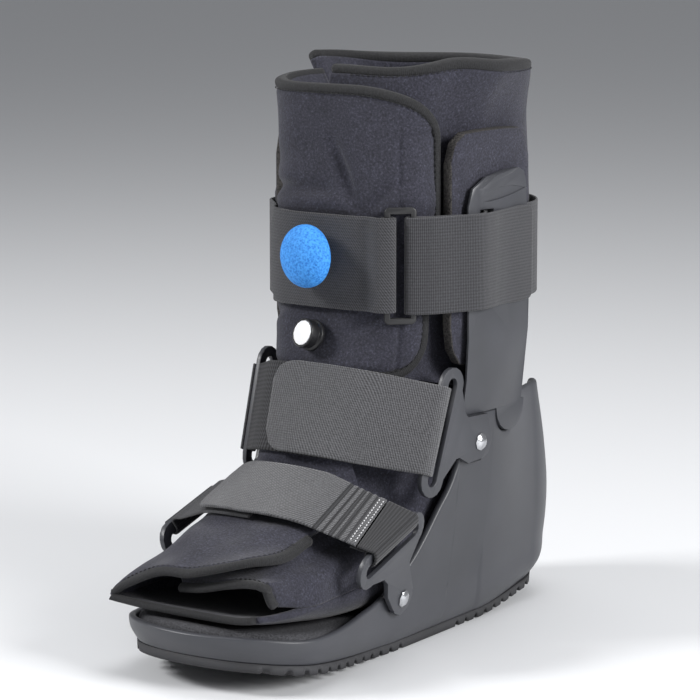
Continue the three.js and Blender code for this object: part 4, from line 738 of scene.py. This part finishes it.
def makeLinerBody():
    # back, sides, heel and foot of the liner, from the right front edge round the back to the left front edge
    place = np.unique(np.concatenate([np.linspace(0, seams["panelFoot"], 80), np.linspace(
        seams["panelFoot"], seams["ankle"], 8), np.linspace(seams["ankle"], lastRow, 110)]))
    opening = smoothStep(seams["panelFoot"], seams["ankle"], place)
    start = seams["panelStart"] + (seams["footRight"] - seams["panelStart"]) * opening
    end = seams["side"] + (seams["footLeft"] - seams["side"]) * opening
    share = np.linspace(0, 1, 150)
    degrees = start[:, None] + (end - start)[:, None] * share
    place = np.repeat(place[:, None], len(share), 1)
    wall = linerWallAt(place)
    under = (1 - opening)[:, None] * underlap(degrees)
    soft = 0.35 * waves(onLiner(degrees, place), 38, 3)
    outer = onLiner(degrees, place, soft - under)
    inner = onLiner(degrees, place, -under - wall)
    piece = slab("linerBody", outer, inner, felt, 0.8)
    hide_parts("liner_body")


flap = {"top": boot["linerHeight"] - boot["flapDrop"],
        "bottom": 0.478 * boot["linerHeight"] + boot["bindingWidth"],
        "topDegrees": 40, "topDrop": 23, "bottomDegrees": 19, "bottomDrop": 15, "draw": 6.5,
        "channelFrom": 33.0, "channelTo": 46, "channelTop": 257.0, "channelMiddle": 41, "threadSink": 1.0,
        "seamDepth": 1.1, "seamWidth": 1.3, "swell": 0.6, "swellWidth": 5, "pinch": 1.2, "pinchWidth": 3.0,
        "rimRow": 36, "hemRow": 30, "drawFrom": 2.2, "drawTo": 3.8, "crowding": 1.6}


def cornerDrop(degrees, wide, drop):
    # how far a corner's quarter ellipse has left the flap's straight edge
    arc = np.clip((degrees - seams["flapEdge"]) / wide + 1, 0, 1)
    return drop * (1 - np.sqrt(np.maximum(1 - arc * arc, 0)))


def flapSpan(degrees):
    # the flap's top and bottom rows at each angle
    top = placeAtHeight(flap["top"] - cornerDrop(degrees, flap["topDegrees"], flap["topDrop"]))
    return top, placeAtHeight(flap["bottom"] + cornerDrop(degrees, flap["bottomDegrees"], flap["bottomDrop"]))


def drawnIn(degrees, place):
    # the flap's free side draws in towards its foot on a smooth step
    draw = flap["draw"] * smoothStep(flap["drawFrom"], flap["drawTo"], place)
    return degrees - draw * np.maximum(degrees / seams["flapEdge"], 0)


def flapDegrees(count):
    # angles from the sewn side to the free edge, closer together towards the free edge
    share = np.linspace(0, 1, count)
    start = seams["side"] - 360 + seams["gap"]
    return start + (seams["flapEdge"] - start) * (1 - (1 - share) ** flap["crowding"])


def makeCalfFlap():
    # the surface between the flap's top and bottom rows, with folds, the strap's draw-in, a stitched channel
    # beside the free edge whose seams are narrow grooves, and felt pinched thin at its edges
    degrees = flapDegrees(150)
    top, bottom = flapSpan(degrees)
    place = top[:, None] + (bottom - top)[:, None] * np.linspace(0, 1, 110)
    across = np.broadcast_to(degrees[:, None], place.shape)
    degrees = drawnIn(across, place)
    flat = onLiner(degrees, place)
    height = flat[..., 2]
    perDegree = math.radians(1) * seams["calfRadius"]
    below = np.clip((flap["channelTop"] - height) / 3, 0, 1)
    seamAway = (degrees - flap["channelFrom"]) * perDegree
    middleAway = (degrees - flap["channelMiddle"]) * perDegree
    topAway = height - flap["channelTop"]
    hemAway = np.abs(place - bottom[:, None]) * flap["hemRow"]
    rimAway = np.abs(place - top[:, None]) * flap["rimRow"]
    edgeAway = np.minimum.reduce([(seams["flapEdge"] - across) * 1.1, hemAway, rimAway]) + 1
    relief = (foldRelief(degrees * perDegree, height, scaledFolds(calfFolds, perDegree), 0.35) + cinch(height)
              - flap["seamDepth"] * np.exp(-(seamAway / flap["seamWidth"]) ** 2) * below
              + flap["swell"] * np.exp(-(middleAway / flap["swellWidth"]) ** 2) * below
              - flap["pinch"] * np.exp(-(np.maximum(edgeAway, 0) / flap["pinchWidth"]) ** 2)
              - flap["seamDepth"] * np.exp(-(topAway / flap["seamWidth"]) ** 2) * (seamAway > 0)
              + 0.5 * waves(flat, 42, 8))
    inner = onLiner(degrees, place, -boot["linerWall"])
    piece = slab("calfFlap", onLiner(degrees, place, relief), inner, felt, 0.7)
    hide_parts("calf_flap")


flapSide = {"place": (5, 7, 9, 11, 13, 15), "degrees": (10, 18, 26, 34, 57, 70)}
leftEdge = {"across": (0, 0.05, 0.14, 0.28, 0.43, 0.59, 0.75, 0.88, 0.95, 0.98, 0.992, 1),
            "place": (14.95, 14.8, 14.6, 14.55, 14.55, 14.6, 14.65, 14.65, 14.4, 13.6, 12.4, 11)}
rightEdge = {"across": (0, 0.12, 0.26, 0.42, 0.6, 0.8, 1),
             "place": (14.2, 14.25, 14.3, 14.35, 14.4, 14.3, 14)}
toeShape = {"fromRow": 12, "bulgeFull": 14.6, "bulge": 4.5, "bulgeAt": -58, "bulgeWidth": 24,
            "cornerFrom": -89, "cornerTo": -76, "sagFull": 14.5, "sag": 4, "slope": 24, "widen": 40,
            "slopeFrom": 10, "rightReach": -45}


def flapSideAt(place):
    # the left foot flap's free side, in degrees at each row
    return curveThrough(flapSide["place"], flapSide["degrees"], place)


def leftDegrees(across, place):
    # from the sewn side, at no share across, to the free side at a full share
    start = seams["footLeft"] - 360 + 1.4 * seams["gap"]
    return start + (flapSideAt(place) - start) * across


def rightDegrees(across, place):
    # the right flap runs on under the left one, to the same angle at every row
    start = seams["footRight"] - seams["gap"]
    return start + (toeShape["rightReach"] - start) * across


def leftLift(degrees, place):
    # the felt arches up beside the toe's left corner: a bell curve of the angle, growing towards the edge
    bell = np.exp(-((degrees - toeShape["bulgeAt"]) / toeShape["bulgeWidth"]) ** 2)
    corner = smoothStep(toeShape["cornerFrom"], toeShape["cornerTo"], degrees)
    return -toeShape["bulge"] * smoothStep(toeShape["fromRow"], toeShape["bulgeFull"], place) * bell * corner


def rightLift(degrees, place):
    # how far the right flap lies below the surface under the left one: a smooth step that widens at the toe
    share = smoothStep(toeShape["fromRow"], toeShape["sagFull"], place)
    full = linerWallAt(place) + 2 * boot["lapGap"] + boot["fitGap"] + toeShape["sag"] * share
    edge = flapSideAt(place) + toeShape["slopeFrom"]
    return full * (1 - smoothStep(edge, edge + toeShape["slope"] + toeShape["widen"] * share, degrees))


def footEdge(edge, count):
    # the flap's toe edge, read along its table so that the steep end has as many points as the flat one
    row = np.linspace(0, len(edge["across"]) - 1, count)
    index = np.arange(len(edge["across"]))
    return curveThrough(index, edge["across"], row), curveThrough(index, edge["place"], row)


# Folds in the foot flaps, as in the calf's, with rows in place of heights; 30 degrees count as one row
footFolds = {
    "left": ((-52, 9.4, -20, 9.0, 1.3, 0.3), (-10, 9.6, 12, 10.6, 1.0, 0.35), (-30, 12.2, 5, 12.6, -0.9, 0.8),
             (-44, 10.6, -18, 11.4, 0.9, 0.4)),
    "right": ((70, 8.6, 48, 7.6, 1.2, 0.3), (66, 12.2, 40, 11.4, 0.8, 0.5)),
}


def makeFootFlap(name, node, edge, degreesAt, liftAt, side, seed):
    # the surface from the ankle's row to the toe edge's row at each share across, with folds and soft relief
    across, end = footEdge(edge, 110)
    place = seams["ankle"] + (end - seams["ankle"])[:, None] * np.linspace(0, 1, 120)
    degrees, place = np.broadcast_arrays(degreesAt(across[:, None], place), place)
    lift = -liftAt(degrees, place)
    folds = foldRelief(degrees / 30, place, scaledFolds(footFolds[side], 1 / 30), 1)
    outer = onLiner(degrees, place, lift + 0.45 * waves(onLiner(degrees, place), 30, seed) + folds)
    piece = slab(name, outer, onLiner(degrees, place, lift - linerWallAt(place)), felt, 0.8)
    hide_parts(node)


tapeSection = {"middle": 1.75, "roundAcross": 0.75, "roundUp": 0.8, "clear": 0.15, "seamInset": 0.3}


def makeBinding(name, node, degrees, place, inset, inward):
    # tape along an edge: a superellipse section whose long side stands along the wall's thickness, with a row
    # of stitches on its outer side
    wall = linerWallAt(place)
    path = onLiner(degrees, place, -wall / 2 - inset)
    upright = unit(onLiner(degrees, place, 1.0) - onLiner(degrees, place, -1.0))
    along = unit(np.gradient(path, axis=0))
    outward = unit(np.cross(along, upright)) * inward
    upright = unit(upright - outward * np.sum(upright * outward, -1, keepdims=True))
    turn = np.radians(np.arange(0, 360, 20))
    reach = boot["bindingWidth"] / 2 + 0.5
    cosine, sine = np.cos(turn), np.sin(turn)
    section = np.stack([
        tapeSection["middle"] + reach * np.sign(cosine) * np.abs(cosine) ** tapeSection["roundAcross"],
        np.sign(sine) * np.abs(sine) ** tapeSection["roundUp"]], -1)
    thick = (wall / 2 + tapeSection["clear"])[:, None]
    rings = path[:, None] + outward[:, None] * section[None, :, :1]
    rings = rings + upright[:, None] * (section[None, :, 1:] * thick[:, None])
    length = np.concatenate([[0], np.cumsum(np.linalg.norm(np.diff(path, axis=0), axis=1))])
    uv = np.stack(np.broadcast_arrays(length[:, None], np.degrees(turn)[None, :] / 20), -1)
    piece = loopGrid(name, rings, tape, uv)
    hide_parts(node)
    line = path - outward * tapeSection["seamInset"] + upright * thick
    makeStitches(f"{name}Stitches", line[6:-6], upright[6:-6], darkThread, threadLook)


def makeBindings():
    # the rim, the calf flap's top, free side and bottom, the two foot flaps' toe edges, and the lip
    rim = np.linspace(seams["panelStart"], seams["side"], 160)
    makeBinding("rimTape", "binding_rim", rim, np.zeros_like(rim), underlap(rim), -1)
    degrees = flapDegrees(120)
    top, bottom = flapSpan(degrees)
    sidePlace = np.linspace(top[-1], bottom[-1], 50)[1:-1]
    low = degrees > -25
    allDegrees = np.concatenate([degrees, np.full(48, float(seams["flapEdge"])), degrees[low][::-1]])
    allPlaces = np.concatenate([top, sidePlace, bottom[low][::-1]])
    allDegrees = drawnIn(allDegrees, allPlaces)
    makeBinding("flapTape", "binding_flap", allDegrees, allPlaces, np.zeros_like(allPlaces), -1)
    for name, node, edge, degreesAt, liftAt, inward in (
            ("footTapeLeft", "binding_foot_left", leftEdge, leftDegrees, leftLift, 1),
            ("footTapeRight", "binding_foot_right", rightEdge, rightDegrees, rightLift, -1)):
        across, place = footEdge(edge, 130)
        across, place = across[4:], place[4:]
        degrees = degreesAt(across, place)
        makeBinding(name, node, degrees, place, liftAt(degrees, place), inward)
    lip = np.linspace(seams["footRight"] + 1, seams["footLeft"] - 4, 110)
    makeBinding("lipTape", "binding_lip", lip, np.full_like(lip, lastRow), np.zeros_like(lip), 1)


makeLinerBody()
makeCalfFlap()
makeFootFlap("footFlapLeft", "foot_flap_left", leftEdge, leftDegrees, leftLift, "left", 11)
makeFootFlap("footFlapRight", "foot_flap_right", rightEdge, rightDegrees, rightLift, "right", 12)
makeBindings()
makeSeams()
print("liner made")


# Hard pieces taken over from the frame with their edges rounded

def rounded(node, name, material, width, smoother=0):
    # a welded copy of the frame's node with flat faces joined, subdivided if asked, and its edges rounded by
    # a bevel of the width in millimetres
    source = frame["nodes"][node]
    copy = source.copy()
    copy.data = source.data.copy()
    copy.name = name
    copy.data.name = name
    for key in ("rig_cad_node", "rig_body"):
        if key in copy:
            del copy[key]
    copy.parent = None
    bpy.context.scene.collection.objects.link(copy)
    weld = bmesh.new()
    weld.from_mesh(copy.data)
    bmesh.ops.remove_doubles(weld, verts=weld.verts, dist=1e-5)
    bmesh.ops.dissolve_limit(weld, angle_limit=math.radians(2), verts=weld.verts, edges=weld.edges)
    weld.to_mesh(copy.data)
    weld.free()
    copy.data.materials.clear()
    copy.data.materials.append(material)
    if smoother:
        copy.modifiers.new("smoother", "SUBSURF").levels = smoother
        copy.modifiers["smoother"].render_levels = smoother
    bevel = copy.modifiers.new("edges", "BEVEL")
    bevel.width = width * 0.001
    bevel.segments = 3
    bevel.limit_method = "ANGLE"
    bevel.angle_limit = math.radians(38)
    bevel.harden_normals = True
    copy.data.polygons.foreach_set("use_smooth", np.full(len(copy.data.polygons), True))
    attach(copy, "boot")
    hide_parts(node)
    return copy


def makeHardPieces():
    # the pads have felt on their flat faces and a cut foam edge round them
    for side in ("right", "left"):
        rounded(f"upright_{side}", f"upright{side.title()}", plastic, 0.6)
        rounded(f"ankle_ring_{side}", f"ankleRing{side.title()}", plastic, 0.7)
        rounded(f"toe_ring_{side}", f"toeRing{side.title()}", plastic, 0.7)
        pad = rounded(f"upright_pad_{side}", f"pad{side.title()}", felt, 1.2)
        pad.data.materials.append(foamEdge)
        for face in pad.data.polygons:
            face.material_index = int(abs(face.normal.x) < 0.6)
        for place in ("ankle", "toe"):
            rounded(f"rivet_{place}_{side}", f"rivet{place.title()}{side.title()}", steel, 0.3)
    rounded("strap_loop", "strapLoop", darkPlastic, 0.6)
    rounded("valve_body", "valveBody", darkPlastic, 0.3)
    rounded("pump_bulb", "pumpBulb", bulbFoam, 0.3, smoother=2)
    button = rounded("valve_button", "valveButton", whitePlastic, 0.25)
    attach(button, "button")


makeHardPieces()
print("hard pieces made")

# Straps: each is read from its node as a row of stations and woven anew with a fine surface

strapLook = {"step": 1.1, "columns": 40, "edgeInset": 0.5, "thin": 0.05}
sewnLook = {"pitch": 2.2, "length": 1.3, "width": 0.6, "rise": 0.3}
panel = {"seam": 31, "hems": (31, -3.5, -7.5), "hemDepth": 0.35, "hemWidth": 0.7, "edgeSeam": 2.6}
ankle = {"foldStation": 10, "tapeStation": 20, "seams": (8, 3), "seamDepth": 0.3, "seamWidth": 0.6}
toe = {"ridges": (4.5, 8.2, 11.9, 15.6, 19.3), "ridgeDepth": 0.7, "ridgeWidth": 0.8, "darkWidth": 1.0,
       "seams": (1.3, 2.8)}


def endFace(work):
    # an end of a strap solid: two triangles side by side whose outer edges all turn by more than 60 degrees
    for face in work.faces:
        for edge in face.edges:
            others = [other for other in edge.link_faces if other is not face]
            if edge.calc_face_angle(3) > 0.1 or not others:
                continue
            rim = [side for part in (face, others[0]) for side in part.edges if side is not edge]
            if all(side.calc_face_angle(0) > 1.05 for side in rim):
                return list(dict.fromkeys([*face.verts, *others[0].verts]))
    return []


def stripStations(node):
    # rings of four corners, walked from one end of the strap to the other: the next ring is every neighbour
    # not yet met, matched corner to corner by the shortest sum of distances. The right-hand end comes first
    source = frame["nodes"][node]
    work = bmesh.new()
    work.from_mesh(source.data)
    work.transform(source.matrix_world)
    bmesh.ops.remove_doubles(work, verts=work.verts, dist=2e-6)
    bmesh.ops.triangulate(work, faces=work.faces)
    ring = endFace(work)
    start = ring[0]
    ring = [start] + sorted(ring[1:], key=lambda corner: (corner.co - start.co).length)
    ring = [ring[0], ring[2], ring[3], ring[1]]
    if (ring[1].co - ring[2].co).length > (ring[1].co - ring[3].co).length:
        ring = [ring[0], ring[1], ring[3], ring[2]]
    met = set(ring)
    rings = []
    while True:
        rings.append([list(corner.co) for corner in ring])
        following = {edge.other_vert(corner) for corner in ring for edge in corner.link_edges} - met
        if len(following) != 4:
            break
        choices = itertools.permutations(following)
        ring = list(min(choices, key=lambda order: sum((a.co - b.co).length for a, b in zip(ring, order))))
        met.update(ring)
    work.free()
    rings = np.array(rings) * 1000 - frameShift
    return rings if rings[0, :, 0].mean() > rings[-1, :, 0].mean() else rings[::-1]


def strapSurface(node):
    # two edge lines smoothed through the stations, a grid between them, its square directions, its UV map in
    # millimetres, and the stations' distances from the first end
    rings = stripStations(node)
    edges = np.stack([(rings[:, 0] + rings[:, 3]) / 2, (rings[:, 1] + rings[:, 2]) / 2], 1)
    middle = edges.mean(1)
    marks = np.concatenate([[0], np.cumsum(np.linalg.norm(np.diff(middle, axis=0), axis=1))])
    at = np.linspace(0, marks[-1], int(marks[-1] / strapLook["step"]))
    lines = np.stack([curveThrough(marks, line, at) for line in edges.reshape(-1, 6).T], -1).reshape(-1, 2, 3)
    width = np.linalg.norm(lines[:, 1] - lines[:, 0], axis=-1)
    inset = strapLook["edgeInset"] / width
    share = np.linspace(0, 1, strapLook["columns"])
    share = inset[:, None] + (1 - 2 * inset[:, None]) * share
    points = lines[:, None, 0] + (lines[:, None, 1] - lines[:, None, 0]) * share[..., None]
    along = np.gradient(points, axis=0)
    across = np.broadcast_to((lines[:, 1] - lines[:, 0])[:, None], points.shape)
    square = unit(np.cross(along, across))
    firstSquare = unit(rings[0, 0] - rings[0, 3])
    if np.sum(square[0, 0] * firstSquare) < 0:
        square = -square
    uv = np.stack([np.broadcast_to(at[:, None], share.shape), (share - 0.5) * width[:, None]], -1)
    return points, square, uv, marks


def grooved(along, places, depth, width):
    # pressed lines across a strap: a bell curve of the distance from each place
    return -depth * sum(np.exp(-((along - place) / width) ** 2) for place in places)


def makeStrap(node, name, material, places=(), depth=0.0, width=1.0):
    # a strap with pressed lines on its outer face, at distances from its first end or, below zero, its last
    points, square, uv, marks = strapSurface(node)
    thick = boot["strapThickness"] / 2 - strapLook["thin"]
    places = [place if place > 0 else marks[-1] + place for place in places]
    raised = np.asarray(grooved(uv[..., 0], places, depth, width))
    outer = points + square * (thick + raised)[..., None]
    piece = slab(name, outer, points - square * thick, material, 0.8, uv)
    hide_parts(node)
    return piece


def tintLayer(piece, material, chosen):
    # the faces at chosen distances along the strap take another material, read from the strap's own UV map
    piece.data.materials.append(material)
    layer = piece.data.uv_layers[0].data
    for face in piece.data.polygons:
        if chosen(layer[face.loop_start].uv[0]):
            face.material_index = 1


def sewAcross(node, name, distance, thread):
    # stitches across a strap at a distance from its first end
    points, square, uv, marks = strapSurface(node)
    row = int(np.argmin(np.abs(uv[:, 0, 0] - distance)))
    path, square = points[row, 1:-1], square[row, 1:-1]
    makeStitches(name, path + square * boot["strapThickness"] / 2, square, thread, sewnLook)


def sewAlong(node, name, start, inset, upper):
    # stitches along a strap from a distance to its last end, at an inset from its upper or lower edge
    points, square, uv, marks = strapSurface(node)
    rows = uv[:, 0, 0] > start
    column = int(round(inset / boot["strapWidth"] * strapLook["columns"]))
    column = strapLook["columns"] - 1 - column if upper else column
    path, square = points[rows, column], square[rows, column]
    makeStitches(name, path + square * boot["strapThickness"] / 2, square, darkThread, sewnLook)


def makeStraps():
    # every strap with its pressed lines and seams, and hook tape at the ankle strap's far end
    makeStrap("calf_strap", "calfStrap", webbing)
    makeStrap("pump_panel", "pumpPanel", twill,
              panel["hems"], panel["hemDepth"], panel["hemWidth"])
    marks = strapSurface("ankle_strap")[3]
    fold = marks[ankle["foldStation"]]
    ankleStrap = makeStrap("ankle_strap", "ankleStrap", pile,
                           [fold - away for away in ankle["seams"]], ankle["seamDepth"], ankle["seamWidth"])
    tintLayer(ankleStrap, hookTape, lambda along: along > marks[ankle["tapeStation"]])
    toeStrap = makeStrap("toe_strap", "toeStrap", pile,
                         toe["ridges"], toe["ridgeDepth"], toe["ridgeWidth"])
    tintLayer(toeStrap, elastic,
              lambda along: any(abs(along - place) < toe["darkWidth"] for place in toe["ridges"]))
    makeStrap("toe_strap_elastic", "toeElastic", elastic)
    makeStrap("toe_strap_under", "toeUnder", webbing)
    sewAcross("toe_strap", "toeStitches", toe["seams"][0], whiteThread)
    sewAcross("toe_strap", "toeStitchesInner", toe["seams"][1], whiteThread)
    sewAcross("pump_panel", "panelStitches", panel["seam"], darkThread)
    sewAcross("ankle_strap", "ankleStitches", fold - ankle["seams"][0], darkThread)
    sewAcross("ankle_strap", "ankleStitchesOuter", fold - ankle["seams"][1], darkThread)
    sewAlong("pump_panel", "panelHemLow", panel["seam"], panel["edgeSeam"], False)
    sewAlong("pump_panel", "panelHemHigh", panel["seam"], panel["edgeSeam"], True)


makeStraps()
print("straps made")

# Camera, floor and light

view = {"azimuth": 35.11, "turn": 0.09, "pitch": 9.53, "distance": 1485.3, "height": 394.3, "focal": 2977.4,
        "frame": 700}


def makeCamera():
    camera = bpy.data.objects.new("camera", bpy.data.cameras.new("camera"))
    bpy.context.scene.collection.objects.link(camera)
    angle = math.radians(view["azimuth"])
    spot = metres([view["distance"] * math.sin(angle), -view["distance"] * math.cos(angle), view["height"]])
    camera.location = Vector(spot)
    camera.rotation_euler = (math.radians(90 - view["pitch"]), 0,
                             math.radians(view["azimuth"] + view["turn"]))
    camera.data.sensor_width = 36
    camera.data.lens = view["focal"] / view["frame"] * 36
    camera.data.clip_start = 0.05
    camera.data.clip_end = 50
    bpy.context.scene.camera = camera


def makeFloor():
    mesh = bpy.data.meshes.new("floor")
    mesh.from_pydata([(-6, -6, 0), (6, -6, 0), (6, 6, 0), (-6, 6, 0)], [], [(0, 1, 2, 3)])
    floor = bpy.data.objects.new("floor", mesh)
    bpy.context.scene.collection.objects.link(floor)
    mesh.materials.append(newMaterial("studio floor", Roughness=0.8, Base_Color=linear("#d9dadc"))[0])
    floor.location.z = -0.0002


# Soft boxes: where each stands, where it looks, its side in metres and its power in watts
lights = {
    "leftBox": ((-1.1, -1.1, 1.2), (0, 0, 0.12), 0.5, 29),
    "rightBox": ((1.6, -0.1, 0.8), (0, 0, 0.12), 0.7, 36),
    "topBox": ((0.1, 0.2, 1.9), (0, 0, 0.1), 1.0, 13),
}
studio = {"colour": "#e6e8ec", "strength": 0.34}


def makeLight():
    for name, (place, target, size, power) in lights.items():
        lamp = bpy.data.lights.new(name, "AREA")
        lamp.shape = "SQUARE"
        lamp.size = size
        lamp.energy = power
        light = bpy.data.objects.new(name, lamp)
        light.location = place
        light.rotation_mode = "QUATERNION"
        light.rotation_quaternion = (Vector(target) - Vector(place)).to_track_quat("-Z", "Y")
        bpy.context.scene.collection.objects.link(light)
    world = bpy.data.worlds.new("studio")
    world.use_nodes = True
    world.node_tree.nodes["Background"].inputs["Color"].default_value = linear(studio["colour"])
    world.node_tree.nodes["Background"].inputs["Strength"].default_value = studio["strength"]
    bpy.context.scene.world = world
    bpy.context.scene.view_settings.view_transform = "Standard"


makeCamera()
makeFloor()
makeLight()
print("stage made")
